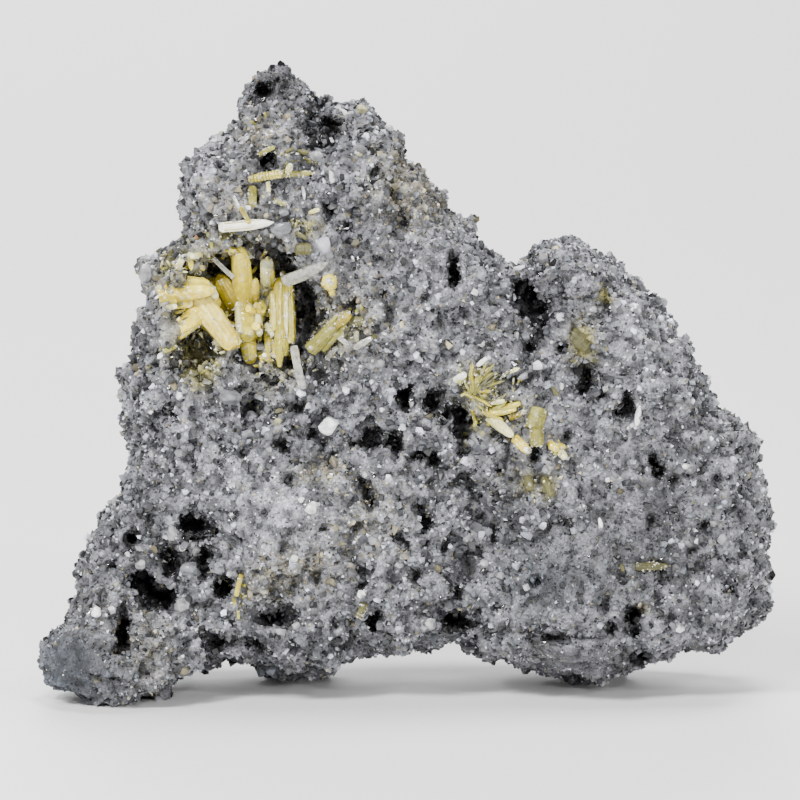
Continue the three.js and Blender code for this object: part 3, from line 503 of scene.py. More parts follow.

# %% [markdown]
# ## Tones of the rock
# The druse is neutral grey, but not evenly: some lumps are frosted white, others smoky, and
# here and there the grains are stained gold, olive or steel blue. Large patches are noted as
# soft spots. Within them a noise of about a millimetre decides between frosted and smoky, and
# what is hidden gets painted shade.

# %% Note the light, dark and stained spots
LIGHT_SPOTS = [
    # x, h, half-width, half-height, how much lighter
    (-9.5, 13.0, 3.6, 3.4, 0.6), (-0.5, 27.0, 2.2, 1.4, 0.5), (-11.6, 23.8, 1.3, 1.4, 0.5),
    (-3.0, 10.5, 3.0, 2.4, 0.2), (24.0, 7.4, 1.6, 0.9, 0.6), (-5.8, 42.4, 2.0, 1.8, -0.6),
    (-18.0, 8.6, 3.2, 2.6, -0.3), (-7.4, 28.0, 0.9, 2.4, -0.9), (9.6, 28.8, 1.4, 2.2, -0.7),
    (-9.8, 45.6, 2.8, 1.9, -0.8), (-2.6, 18.8, 1.6, 1.6, -0.3), (17.0, 13.0, 8.0, 6.5, -0.32),
    (-23.4, 2.0, 4.6, 3.6, -0.3), (4.0, 5.0, 4.0, 2.0, -0.2), (5.6, 14.0, 2.4, 4.0, -0.15),
    (10.0, 8.4, 3.0, 2.4, -0.2), (-17.3, 38.0, 2.0, 2.6, 0.2), (-9.6, 34.4, 0.9, 0.7, 0.3),
    (-25.0, 2.0, 3.2, 3.2, -0.55), (12.6, 2.2, 3.8, 1.6, -0.25),
    (14.0, 8.8, 8.5, 4.4, -0.3), (-5.0, 36.5, 8.0, 6.0, -0.15),
]
GOLD_SPOTS = [
    (0.2, 37.8, 2.4, 2.6, 1.0), (-6.5, 16.4, 1.6, 0.8, 1.2), (-10.2, 8.2, 1.6, 1.4, 1.0),
    (-12.6, 36.6, 3.0, 2.0, 0.4), (-19.0, 2.6, 1.6, 3.0, 0.35), (-4.2, 28.4, 3.0, 3.0, 0.4),
    (9.0, 15.8, 2.0, 1.4, 0.5), (-2.6, 13.0, 3.0, 3.0, 0.3), (17.7, 6.1, 0.5, 0.4, 1.5),
    (-7.2, 9.4, 2.4, 1.6, 0.5), (-11.0, 41.4, 1.6, 1.6, 0.5), (-21.6, 5.0, 3.0, 3.0, 0.12),
]
OLIVE_SPOTS = [
    (13.2, 26.0, 0.9, 1.4, 1.2), (14.8, 29.5, 0.6, 0.6, 1.2), (-15.3, 23.7, 1.0, 1.2, 1.0),
    (9.15, 15.5, 0.4, 0.6, 1.0), (10.6, 15.2, 0.5, 0.8, 1.0), (-14.6, 30.4, 4.0, 3.0, 0.7),
    (-15.8, 25.6, 2.0, 1.6, 0.8), (-9.8, 27.0, 1.6, 4.0, 0.7), (-7.4, 34.6, 1.0, 0.6, 0.8),
    (5.4, 22.6, 1.6, 1.6, 0.5), (7.0, 20.6, 2.0, 1.4, 0.5), (-5.6, 26.6, 1.8, 1.8, 0.4),
]
BLUE_SPOTS = [
    (-25.4, 1.6, 2.6, 2.4, 1.0), (-26.4, -0.4, 2.0, 1.0, 0.6), (10.4, 8.0, 2.6, 1.8, 0.5),
]
SPOTS_TO = 1  # the spots end at this Y
FROST_LEVEL = 0.43
FROST_NOISES = [(0.9, 1.0), (0.38, 0.6), (3.0, 0.5)]  # width in mm, weight


def zone(spots, points):
    """Strength of a group of spots at each point of the front."""
    seen = points[:, 1] < SPOTS_TO
    return blobs(spots, points[:, 0], sight_heights(points)) * seen


def frost_at(points):
    """About 0 where the quartz is smoky, about 1 where it is frosted."""
    values = np.empty(len(points))
    for i, row in enumerate(points):
        point = Vector(row)
        values[i] = sum(weight * noise.noise(point / width) for width, weight in FROST_NOISES)
    return np.clip(FROST_LEVEL + values, 0, 1)


print("spots:", len(LIGHT_SPOTS) + len(GOLD_SPOTS) + len(OLIVE_SPOTS) + len(BLUE_SPOTS))

# %% [markdown]
# ## Finish of the skin
# What shows between the grains is older quartz, dark partly by its own smoky tone and partly
# as painted shade in the gaps. Each point of the skin gets a tint from its frost, and painted
# shade from how hidden it is. A fine noise in the shader breaks the tint into specks, and a
# bump node adds the sugar-like relief that is too small for the mesh.

# %% Tint the skin
# The skin is dark partly by its own tone and partly as painted shade in the gaps between grains.
SMOKY_TONE, FROSTED_TONE, BARE_TONE = 0.05, 0.26, 0.13
# Painted shade: hidden places and the bottoms of noted pits are darkened in the tint.
SHADE, DARKEST = 1.75, 0.07  # how strongly a hidden place is darkened, and the least that stays
SHADE_FREE = 1.1  # above 1, so that a place that is hardly hidden isn't darkened
PIT_SHADE = 0.9  # how much darker the bottom of a noted pit is
BARE_SHARE, STREAKS = 0.8, (0.8, 0.9)  # of calm places: how bare, and how layers change the tone
SKIN_LIGHT = (0.25, 1.6)  # the least and the most that a light spot may scale a tone by
SKIN_HUE = (1.0, 1.0, 1.1)
STAINS = [
    # spots, what they add to red, green and blue
    (GOLD_SPOTS, (0.12, 0.06, -0.25)), (OLIVE_SPOTS, (0.4, 0.25, -0.8)),
    (BLUE_SPOTS, (-0.16, -0.05, 0.08)),
]


# Painted shade: the more hidden a place, the darker its tint.
def shaded(hidden):
    return np.clip(SHADE_FREE - SHADE * hidden, DARKEST, 1)


def skin_tints(points, hidden, calm, streak, pit):
    """A colour per point of the skin."""
    tone = SMOKY_TONE + (FROSTED_TONE - SMOKY_TONE) * frost_at(points)
    bare = BARE_TONE * (STREAKS[0] + STREAKS[1] * streak)
    tone = tone * (1 - BARE_SHARE * calm) + bare * calm
    # painted shade of hidden places and of noted pits
    tone = tone * np.clip(1 + zone(LIGHT_SPOTS, points), *SKIN_LIGHT) * shaded(hidden)
    tone = tone * (1 - PIT_SHADE * pit)
    hue = np.tile(SKIN_HUE, (len(points), 1))
    for spots, change in STAINS:
        hue += np.outer(np.clip(zone(spots, points), 0, 1), change)
    return tone[:, None] * hue


skin_tint = skin_tints(skin, hidden, calm, streak, pit)
print("tint from", round(float(skin_tint.min()), 3), "to", round(float(skin_tint.max()), 3))

# %% [markdown]
# The map of the skin is a cube's: seen from the lump's middle, each square looks through one
# side of a box, and each side of the box has its own sixth of the map.

# %% Map the skin on the sides of a box
MAP_MARGIN = 0.01
BOX_REACH = 1.1  # how much more of the skin than its sixth a side of the box can hold
LEAST_AWAY = 0.05  # keeps the division below from running off


def box_map(points, faces):
    """A place in the map for each corner of each face."""
    middle = (points.max(axis=0) + points.min(axis=0)) / 2
    reach = (points.max(axis=0) - points.min(axis=0)) / 2
    way = (points - middle) / reach
    centres = way[faces].mean(axis=1)
    axis = np.abs(centres).argmax(axis=1)
    side = axis + 3 * (centres[np.arange(len(faces)), axis] < 0)
    corner = way[faces]
    rows = np.arange(len(faces))
    away = np.abs(corner[rows, :, axis])
    first = corner[rows, :, (axis + 1) % 3] / np.maximum(away, LEAST_AWAY)
    second = corner[rows, :, (axis + 2) % 3] / np.maximum(away, LEAST_AWAY)
    inside = 0.5 - MAP_MARGIN
    u = (np.clip(first / BOX_REACH, -1, 1) * inside + 0.5 + (side % 3)[:, None]) / 3
    v = (np.clip(second / BOX_REACH, -1, 1) * inside + 0.5 + (side // 3)[:, None]) / 2
    return np.stack([u, v], axis=2)


skin_map = box_map(skin, squares)
rock = make_piece("quartz_rock", skin, squares, skin_tint, skin_map, smooth=True)
print("places in the map:", skin_map.shape[0] * skin_map.shape[1])

# %% Make the skin's material
SPECK, SUGAR = 0.22, 0.12  # widths of a speck and of the sugar-like relief, in mm
SPECK_STOPS = [(0.3, 0.35), (0.7, 1.75)]  # noise, and how much it scales the tint
DULL, POLISH = 0.75, 0.35  # roughness of the skin, and how much a speck takes off it


def rock_material():
    material, start, shader = new_material("old_quartz")
    spot = start.node("ShaderNodeTexCoord", output=3)
    tint = start.node("ShaderNodeAttribute", {"attribute_name": "tint"})
    speck_inputs = {"Vector": spot, "Scale": 1 / (SPECK * MM), "Detail": 3.0, "Roughness": 0.7}
    speck = start.node("ShaderNodeTexNoise", inputs=speck_inputs)
    strength = start.node("ShaderNodeValToRGB", {"stops": SPECK_STOPS}, {0: speck})
    sugar_inputs = {"Vector": spot, "Scale": 1 / (SUGAR * MM), "Detail": 2.0}
    sugar = start.node("ShaderNodeTexNoise", inputs=sugar_inputs)
    relief = {"Height": sugar + speck, "Strength": 0.8, "Distance": 0.1 * MM}
    start.feed(shader.inputs["Base Color"], tint.scaled(strength))
    start.feed(shader.inputs["Roughness"], DULL - POLISH * speck)
    start.feed(shader.inputs["Normal"], start.node("ShaderNodeBump", inputs=relief))
    return material


settle(rock, rock_material(), "rock", "quartz_matrix")
print("rock piece:", rock.name)

# %% [markdown]
# ## Large crystals: where they stand
# A crystal is given by the two ends of its axis. On the open front an end is found by
# looking along the sight line until the rock is hit, and stepping back towards the viewer.
# Over the vug there is nothing to hit where the rock's face used to be, so a flat lid is
# laid across the mouth, fitted to the rock around it, and depths are counted from the lid.

# %% Find the front, and the lid of the vug
VUG = {"x": -13.0, "h": 29.2, "half_width": 6.8, "half_height": 5.4}
LID_POINTS = 24  # how many places round the mouth the lid is fitted to


def front_depth(x, h):
    hit, _, _, _ = rock_tree.ray_cast(place(x, h, BEFORE), SIGHT_LINE)
    return hit.y + MIDDLE_DEPTH


def fit_lid():
    """Coefficients of the plane depth = a x + b h + c around the mouth."""
    rows, depths = [], []
    for turn in np.linspace(0, 2 * math.pi, LID_POINTS, endpoint=False):
        x = VUG["x"] + VUG["half_width"] * math.cos(turn)
        h = VUG["h"] + VUG["half_height"] * math.sin(turn)
        if rock_tree.ray_cast(place(x, h, BEFORE), SIGHT_LINE)[0] is not None:
            rows.append((x, h, 1.0))
            depths.append(front_depth(x, h))
    return np.linalg.lstsq(np.array(rows), np.array(depths), rcond=None)[0]


LID = fit_lid()


def over_vug(x, h, out):
    return place(x, h, float(LID @ (x, h, 1.0)) - out)


def over_front(x, h, out):
    return place(x, h, front_depth(x, h) - out)


middle_depth = float(LID @ (VUG["x"], VUG["h"], 1.0))
print("depth of the lid at the vug's middle:", round(middle_depth, 2))

# %% [markdown]
# ## Large crystals: their form
# A mimetite crystal is a six-sided prism that swells in the middle. Its sides carry fine
# grooves along the length, because it is a bundle of thinner crystals. A box with six sides
# would look like plastic. So the ring around the axis has several points on each side, and
# each column of points keeps its own small groove, tone and gloss from end to end, while
# bands of growth swell and narrow the rings a little.

# %% Choose the habits
SIDES = 6
COLUMNS, RINGS = 5, 16  # columns of points on a side, and rings along a large crystal
HABITS = {
    # share of the length, share of the half-width
    "barrel": [(0, 0.5), (0.08, 0.8), (0.5, 1), (0.9, 0.82), (1, 0.5)],
    "bullet": [(0, 0.9), (0.5, 1), (0.8, 0.84), (0.93, 0.6), (1, 0.3)],
    "thumb": [(0, 0.72), (0.3, 0.94), (0.6, 1), (0.78, 0.92), (0.89, 0.76), (0.96, 0.52), (1, 0.2)],
    "spindle": [(0, 0.4), (0.1, 0.74), (0.38, 1), (0.62, 0.96), (0.86, 0.6), (1, 0.3)],
    "dart": [(0, 0.6), (0.06, 0.95), (0.6, 1), (0.85, 0.66), (1, 0.08)],
    "prism": [(0, 0.92), (0.04, 1), (0.96, 1), (1, 0.9)],
    "needle": [(0, 1), (0.8, 0.8), (1, 0.15)],
}
PLATES = 11  # a stacked crystal is a pile of this many plates, the first ones smaller
PLATE = [(0, 1), (0.62, 1), (0.7, 0.9), (0.93, 0.9)]  # outline of a plate and of its groove
FIRST_PLATE, PLATE_GROWTH = 0.6, 1.6


def plate_width(share):
    """Width of the plate at a share of the pile's length."""
    return np.minimum(1, FIRST_PLATE + PLATE_GROWTH * share)


plate_ends = [((k + part) / PLATES, size) for k in range(PLATES) for part, size in PLATE]
HABITS["stacked"] = [(end, size * plate_width(end)) for end, size in plate_ends] + [(1, 0.85)]


def hexagon(turns):
    """Distance from the middle of a hexagon to its edge at each angle."""
    sector = math.pi / 3
    return math.cos(sector / 2) / np.cos((turns + sector / 2) % sector - sector / 2)


print("habits:", ", ".join(HABITS))

# %% Build one crystal as arrays
GROOVE, BEND = 0.045, 0.03  # depth of a groove in half-widths, and sag of the axis in lengths
COLUMN_TONE, CORNER_TONE, BAND_TONE = 0.09, 0.05, 0.12  # how much columns, edges, bands differ
BAND_WIDTH = 0.06  # how much the bands differ in width
# Painted shade: the grooves between the plates of a pile are darkened in the tint.
GROOVE_WIDTH, GROOVE_SHADE = 0.92, 0.5  # below this width, the groove of a pile has this tone
CRYSTAL_GLOSS, END_GLOSS = (0.12, 0.28), 0.3


def by_luck(least, more, luck, shape=None):
    """Random numbers: the least, and up to so much more."""
    return least + more * luck.random(shape)


def ring_shares(habit, rings):
    """Where along the axis the rings lie: at even steps and at the habit's corners."""
    corners = [share for share, _ in HABITS[habit]]
    return np.unique(np.round(np.concatenate([np.linspace(0, 1, rings), corners]), 4))


def crystal_arrays(start, end, wide, habit, roll, luck, columns, rings):
    """Points (rings, then the two end points) and per point: outward way, tone, gloss, share."""
    length = np.linalg.norm(end - start)
    axis = (end - start) / length
    side = np.cross(np.array(SIGHT_LINE), axis)
    side /= np.linalg.norm(side)
    across = np.cross(axis, side)
    count = SIDES * columns
    turns = np.arange(count) * 2 * math.pi / count
    corner = (np.arange(count) % columns == 0).astype(float)
    groove = 1 - GROOVE * luck.random(count) * (1 - corner)
    column_tone = 1 + COLUMN_TONE * (luck.random(count) - 0.5) + CORNER_TONE * corner
    t = ring_shares(habit, rings)
    shares, widths = zip(*HABITS[habit])
    profile = np.interp(t, shares, widths)
    radius = profile * (1 + BAND_WIDTH * (luck.random(len(t)) - 0.5)) * wide / 2
    shift = BEND * length * np.sin(math.pi * t) * (luck.random() - 0.5)
    middle = start + np.outer(t, axis) * length + np.outer(shift, side)
    angle = turns + math.radians(roll)
    ring = side * np.cos(angle)[:, None] + across * np.sin(angle)[:, None]
    reach = radius[:, None] * (hexagon(turns) * groove)[None, :]
    points = middle[:, None, :] + reach[:, :, None] * ring[None, :, :]
    band_tone = 1 + BAND_TONE * (luck.random(len(t)) - 0.5)
    # in a pile, painted shade in the grooves takes the place of the bands
    if habit == "stacked":
        band_tone = np.where(profile < GROOVE_WIDTH * plate_width(t), GROOVE_SHADE, 1.0)
    tone = np.append(np.outer(band_tone, column_tone), [1.0, 1.0])
    column_gloss = by_luck(*CRYSTAL_GLOSS, luck, count)
    gloss = np.append(np.tile(column_gloss, len(t)), [END_GLOSS, END_GLOSS])
    share = np.append(np.repeat(t, count), [0.0, 1.0])
    outward = np.tile(ring, (len(t), 1))
    everything = np.concatenate([points.reshape(-1, 3), [middle[0], middle[-1]]])
    return everything, outward, tone, gloss, share


print("gloss of a crystal from", CRYSTAL_GLOSS[0], "to", round(sum(CRYSTAL_GLOSS), 2))

# %% Join the rings of a crystal with faces


def crystal_faces(count, rings):
    """Triangles and map corners of a crystal of so many rings of so many points."""
    faces, corners = [], []
    first, last = rings * count, rings * count + 1
    top, unit_height = (rings - 1) * count, 1 / (rings + 1)
    for k in range(count):
        n = (k + 1) % count
        for ring in range(rings - 1):
            a, b = ring * count + k, ring * count + n
            faces += [(a, b, b + count), (a, b + count, a + count)]
            low, high = (ring + 1) * unit_height, (ring + 2) * unit_height
            corners.append(((k, low), (k + 1, low), (k + 1, high)))
            corners.append(((k, low), (k + 1, high), (k, high)))
        faces += [(n, k, first), (top + k, top + n, last)]
        corners.append(((k + 1, unit_height), (k, unit_height), (k + 0.5, 0)))
        corners.append(((k, 1 - unit_height), (k + 1, 1 - unit_height), (k + 0.5, 1)))
    corners = np.array(corners, float)
    corners[:, :, 0] /= count
    return np.array(faces), corners


print("points on a ring:", SIDES * COLUMNS)

# %% [markdown]
# Colour runs along a crystal from its root to its tip, and white flecks lie on it, partly
# frost and partly painted glints. Both are worked out per point here, so that the shader has
# little left to do.

# %% Join crystals into one piece
FROST_AND_GLINT = np.array([0.9, 0.89, 0.78])
TINTS = {
    # colour at the root, colour at the tip, share of white flecks: frost and painted glints
    "gold": ((0.48, 0.37, 0.014), (0.84, 0.67, 0.065), 0.2),
    "blush": ((0.74, 0.63, 0.2), (0.6, 0.45, 0.025), 0.16),
    "sunny": ((0.42, 0.33, 0.012), (0.8, 0.64, 0.055), 0.14),
    "amber": ((0.18, 0.135, 0.005), (0.36, 0.275, 0.016), 0.05),
    "honey": ((0.3, 0.245, 0.013), (0.53, 0.445, 0.05), 0.14),
    "lime": ((0.21, 0.197, 0.024), (0.37, 0.353, 0.076), 0.12),
    "moss": ((0.17, 0.153, 0.021), (0.27, 0.25, 0.055), 0.14),
    "khaki": ((0.072, 0.067, 0.02), (0.118, 0.111, 0.038), 0.1),
    "dusk": ((0.058, 0.054, 0.018), (0.095, 0.09, 0.034), 0.08),
    "cream": ((0.46, 0.42, 0.12), (0.76, 0.72, 0.36), 0.3),
    "white": ((0.88, 0.84, 0.6), (0.95, 0.94, 0.86), 0.6),
    "clear": ((0.93, 0.92, 0.8), (0.97, 0.97, 0.92), 0.1),
}
# A fleck is white frost, and partly a painted glint.
FLECK = 0.24  # width of a fleck of frost
FLECK_FROM, FLECK_GROWTH, FLECK_EDGE = 0.55, 1.1, 4  # noise level, its fall by share, sharpness
CELL_MARGIN = 0.03


def flecks(points, share):
    """0 to 1: how much white lies at each point, as frost and as painted glints."""
    values = np.array([noise.noise(Vector(p) / FLECK) for p in points])
    strength = np.clip((values - FLECK_FROM + FLECK_GROWTH * share) * FLECK_EDGE, 0, 1)
    return strength * min(1.0, 3 * share)


def in_cell(corners, number, cells):
    """Map corners moved into the cell that a number has in a square of cells."""
    cell = np.array([number % cells, number // cells])
    return (corners * (1 - 2 * CELL_MARGIN) + CELL_MARGIN + cell) / cells


def crystal_group(name, rows, where, seed, columns=COLUMNS, rings=RINGS):
    """One piece of many crystals. A row is start, end, width, habit, roll and tint. Gives
    the piece, the axes, and the crystals' surface points with their outward ways."""
    luck = np.random.default_rng(seed)
    cells = math.ceil(math.sqrt(len(rows)))
    lists = [[] for _ in range(5)]
    axes, outwards, offset = [], [], 0
    for i, (start, end, wide, habit, roll, tint) in enumerate(rows):
        ends = np.array(where(*start)), np.array(where(*end))
        made = crystal_arrays(*ends, wide, habit, roll, luck, columns, rings)
        points, outward, tone, gloss, share = made
        count = SIDES * columns
        faces, corners = crystal_faces(count, (len(points) - 2) // count)
        root, tip, frost = TINTS[tint]
        colour = np.outer(1 - share, root) + np.outer(share, tip)
        colour = np.clip(colour * tone[:, None], 0, 1)
        # white flecks: frost, and partly painted glints
        white = flecks(points, frost)[:, None]
        colour = colour * (1 - white) + FROST_AND_GLINT * white
        values = points, faces + offset, colour, in_cell(corners, i, cells), gloss
        for kept, value in zip(lists, values):
            kept.append(value)
        outwards.append(np.concatenate([outward, np.zeros((2, 3))]))
        offset += len(points)
        axes.append((*ends, wide / 2))
    joined = [np.concatenate(kept) for kept in lists]
    surface = joined[0], np.concatenate(outwards)
    return make_piece(name, *joined), axes, surface


print("tints:", ", ".join(TINTS))

# %% [markdown]
# ## Finishes of the crystals
# Mimetite bends light strongly, so its faces reflect like varnish, and light that enters it
# comes out again nearby with a honey colour. Subsurface scattering gives that glow. The clear
# crystals let light through, but they aren't flawless glass: veils of tiny bubbles inside
# scatter some of it. So only a part of their light is transmitted, and the rest is a pale
# diffuse white, which keeps them bright in front of the dark vug.

# %% Make the crystals' materials
GLOW, GLOW_COLOURS = 0.6, (1.0, 0.8, 0.2)  # how far light travels inside: in mm, and by colour
CLOUD, SPARKLE = 0.5, 0.13  # widths of a cloud in the colour and of a facet that glints
VEIL = 0.4  # width of a veil in a clear crystal
CLOUD_TINT, VEIL_TINT = (0.3, 1.4), (0.1, 1.6)  # how they scale the tint: the least, the rise


def mimetite_material(name, glow, matte, bending):
    """Glow is the share of light that enters, matte is added to the roughness, and bending is
    how strongly light bends."""
    material, start, shader = new_material(name)
    spot = start.node("ShaderNodeTexCoord", output=3)
    tint = start.node("ShaderNodeAttribute", {"attribute_name": "tint"})
    gloss = start.node("ShaderNodeAttribute", {"attribute_name": "gloss"}, output=2)
    cloud_inputs = {"Vector": spot, "Scale": 1 / (CLOUD * MM), "Detail": 4.0, "Roughness": 0.6}
    cloud = start.node("ShaderNodeTexNoise", inputs=cloud_inputs)
    facet_inputs = {"Vector": spot, "Scale": 1 / (SPARKLE * MM)}
    facet = start.node("ShaderNodeTexVoronoi", inputs=facet_inputs)
    relief = {"Height": cloud + 0.5 * facet, "Strength": 0.7, "Distance": 0.08 * MM}
    start.feed(shader.inputs["Base Color"], tint.scaled(CLOUD_TINT[0] + CLOUD_TINT[1] * cloud))
    start.feed(shader.inputs["Roughness"], gloss + matte)
    start.feed(shader.inputs["Normal"], start.node("ShaderNodeBump", inputs=relief))
    shader.inputs["IOR"].default_value = bending
    shader.inputs["Subsurface Weight"].default_value = glow
    shader.inputs["Subsurface Radius"].default_value = GLOW_COLOURS
    shader.inputs["Subsurface Scale"].default_value = GLOW * MM
    return material


def clear_material():
    material, start, shader = new_material("clear_crystal")
    spot = start.node("ShaderNodeTexCoord", output=3)
    tint = start.node("ShaderNodeAttribute", {"attribute_name": "tint"})
    veil_inputs = {"Vector": spot, "Scale": 1 / (VEIL * MM), "Detail": 3.0}
    veil = start.node("ShaderNodeTexNoise", inputs=veil_inputs)
    relief = {"Height": veil, "Strength": 0.5, "Distance": 0.06 * MM}
    start.feed(shader.inputs["Base Color"], tint.scaled(VEIL_TINT[0] + VEIL_TINT[1] * veil))
    start.feed(shader.inputs["Normal"], start.node("ShaderNodeBump", inputs=relief))
    shader.inputs["Roughness"].default_value = 0.1
    shader.inputs["IOR"].default_value = 1.6
    shader.inputs["Transmission Weight"].default_value = 0.7
    return material


honey_finish = mimetite_material("mimetite_honey", glow=0.2, matte=-0.04, bending=1.7)
khaki_finish = mimetite_material("mimetite_khaki", glow=0.1, matte=0.2, bending=1.45)
frosted_finish = mimetite_material("mimetite_frosted", glow=0.1, matte=-0.04, bending=1.8)
clear_finish = clear_material()
print("glow in mm:", GLOW)

# %% [markdown]
# ## The crystals of the vug
# This is the heart of the specimen. On the left, several crystals cross each other; a tall
# bullet stands behind a blocky pair; a long spindle leans on the right wall. They could be
# thrown at random, but the eye knows these few one by one, so each has its own row of numbers.

# %% Set the crystals of the vug
VUG_CRYSTALS = [
    # start (x, h, out), end (x, h, out), width, habit, roll, tint
    # crossed crystals on the left
    ((-18.5, 29.6, 1.9), (-14.4, 30.0, 1.5), 1.5, "bullet", 12, "gold"),
    ((-18.1, 30.35, 1.6), (-14.8, 30.4, 0.9), 1.3, "barrel", 20, "gold"),
    ((-18.4, 28.9, 1.5), (-16.0, 29.0, 1.2), 0.95, "barrel", 5, "gold"),
    ((-16.4, 30.3, -0.4), (-12.85, 25.6, 2.1), 2.15, "barrel", 4, "blush"),
    ((-14.4, 29.3, -0.4), (-17.2, 26.8, 2.4), 1.8, "bullet", 25, "gold"),
    ((-14.9, 28.4, 0.6), (-17.0, 26.4, 2.4), 0.75, "barrel", 5, "honey"),
    ((-17.8, 31.3, -1.2), (-15.4, 31.5, -0.3), 1.0, "barrel", 40, "khaki"),
    ((-15.2, 30.6, -0.2), (-14.2, 29.4, 0.6), 0.8, "barrel", 30, "cream"),
    ((-18.7, 30.0, 2.0), (-17.4, 30.3, 2.0), 0.75, "barrel", 30, "cream"),
    # the tall bullet and the two beside its foot
    ((-12.15, 28.2, -2.8), (-12.45, 33.15, 0.2), 1.75, "thumb", 8, "sunny"),
    ((-12.6, 28.4, -2.4), (-14.0, 30.9, -0.9), 1.7, "barrel", 0, "amber"),
    ((-13.2, 27.9, -3.0), (-14.9, 30.6, -1.6), 1.9, "barrel", 10, "amber"),
    ((-11.35, 29.1, -2.6), (-11.3, 30.8, -1.0), 0.8, "bullet", 15, "gold"),
    # the blocky pair
    ((-12.15, 29.15, -2.6), (-11.9, 26.35, 0.1), 1.9, "barrel", 14, "honey"),
    ((-12.6, 29.0, -1.5), (-12.45, 26.7, 0.3), 0.6, "prism", 30, "cream"),
    ((-11.25, 29.0, -2.0), (-11.0, 26.6, 0.1), 0.75, "barrel", 30, "cream"),
    ((-11.9, 27.0, -1.8), (-11.7, 24.6, 0.0), 1.45, "barrel", 0, "honey"),
    # the spindle with its slimmer neighbours
    ((-9.35, 30.9, -1.9), (-9.3, 25.0, 0.0), 1.5, "barrel", 6, "honey"),
    ((-8.75, 30.5, -1.3), (-8.6, 26.0, 0.2), 0.95, "barrel", 20, "honey"),
    ((-10.0, 29.9, -1.4), (-9.9, 26.9, -0.1), 0.8, "barrel", 40, "honey"),
    ((-9.35, 28.4, -0.8), (-9.5, 24.2, 0.4), 1.05, "spindle", 10, "honey"),
    ((-8.95, 29.8, -0.7), (-8.95, 26.6, 0.5), 0.42, "spindle", 10, "cream"),
    ((-8.95, 30.6, -1.2), (-9.3, 31.4, -0.8), 0.5, "barrel", 10, "khaki"),
    ((-10.35, 27.6, -1.8), (-10.2, 24.9, -0.4), 0.8, "barrel", 0, "honey"),
    ((-10.5, 27.4, -1.0), (-10.0, 26.6, 0.1), 0.55, "barrel", 0, "cream"),
    ((-9.9, 26.2, -0.8), (-9.85, 24.9, 0.2), 0.5, "barrel", 0, "honey"),
    # the pale stub
    ((-10.5, 29.9, -3.2), (-10.45, 31.95, -0.6), 1.2, "prism", 0, "cream"),
    ((-10.1, 30.2, -2.4), (-10.0, 31.5, -0.6), 0.5, "bullet", 30, "honey"),
    # low crystals in the mouth
    ((-14.4, 25.6, -0.6), (-13.7, 25.2, 0.4), 0.5, "barrel", 0, "cream"),
    ((-16.4, 25.2, -1.8), (-15.0, 23.6, -0.4), 0.7, "barrel", 0, "khaki"),
    ((-15.0, 25.0, -1.8), (-14.5, 23.4, -0.4), 0.6, "barrel", 30, "khaki"),
]

made = crystal_group("vug_crystals", VUG_CRYSTALS, over_vug, seed=11)
vug_crystals, vug_axes, vug_surface = made
settle(vug_crystals, honey_finish, "yellow", "vug_crystal_crust")
print("vug crystals:", len(VUG_CRYSTALS))

# %% [markdown]
# Behind them the walls of the vug are lined with small crystals, and more of them hide among
# the grains around it and by the two fans. These are thrown at random into listed spots: a
# ray along the sight line finds the rock, and the crystal stands roughly square to it.

# %% Line the vug and its surroundings
SMALL_SPOTS = [
    # x, h, half-width, half-height, how many, least and most length, tints
    (-13.4, 29.6, 4.6, 3.6, 150, 0.8, 1.9, "warm"), (-10.2, 26.4, 1.8, 2.4, 40, 0.7, 1.5, "warm"),
    (-15.6, 25.4, 2.2, 1.6, 34, 0.6, 1.4, "dull"), (-16.6, 31.9, 2.0, 1.0, 30, 0.6, 1.2, "pale"),
    (-17.9, 29.9, 0.7, 0.7, 9, 0.6, 1.1, "pale"),
    (-8.0, 34.6, 1.0, 0.7, 12, 0.5, 1.0, "dull"), (-12.4, 33.9, 3.0, 0.5, 12, 0.5, 1.0, "dull"),
    (-3.8, 27.4, 1.3, 1.2, 12, 0.6, 1.1, "dull"), (-7.6, 24.2, 1.0, 1.4, 8, 0.5, 1.1, "dull"),
    (5.6, 23.0, 1.4, 1.3, 26, 0.6, 1.3, "green"), (7.2, 20.8, 1.7, 1.0, 22, 0.5, 1.2, "green"),
    (5.6, 20.4, 0.9, 0.9, 12, 0.5, 1.0, "green"), (9.9, 15.4, 1.4, 0.9, 4, 0.4, 0.8, "dull"),
    (11.3, 18.0, 0.9, 0.6, 8, 0.4, 0.7, "green"), (-9.6, 41.6, 2.0, 1.6, 8, 0.4, 0.8, "dull"),
    (-8.2, 39.4, 2.4, 0.7, 12, 0.4, 0.9, "dull"), (-12.4, 7.2, 0.8, 1.6, 8, 0.4, 0.9, "green"),
    (8.1, 23.3, 0.8, 0.9, 8, 0.6, 1.1, "green"), (-14.4, 33.4, 1.2, 1.0, 8, 0.5, 1.0, "dull"),
]
LEAN, ROOTED = 0.55, 0.25  # how far a small crystal leans, and the share of it in the rock
STOUTNESS = (0.22, 0.22)  # width in lengths: the least, and what luck adds
SAME_AGAIN = 60  # degrees of roll after which six sides look the same
GROUND_GAP = 0.3  # in mm
SMALL_HABITS = ("barrel", "prism", "needle", "dart")
SMALL_TINTS = {
    "warm": ("honey", "gold", "amber", "khaki", "honey", "cream"),
    "green": ("honey", "lime", "lime", "khaki", "cream"),
    "dull": ("khaki", "khaki", "lime", "khaki", "cream"),
    "pale": ("khaki", "cream", "white", "lime", "cream", "khaki"),
}


def as_given(x, y, z):
    return Vector((x, y, z))


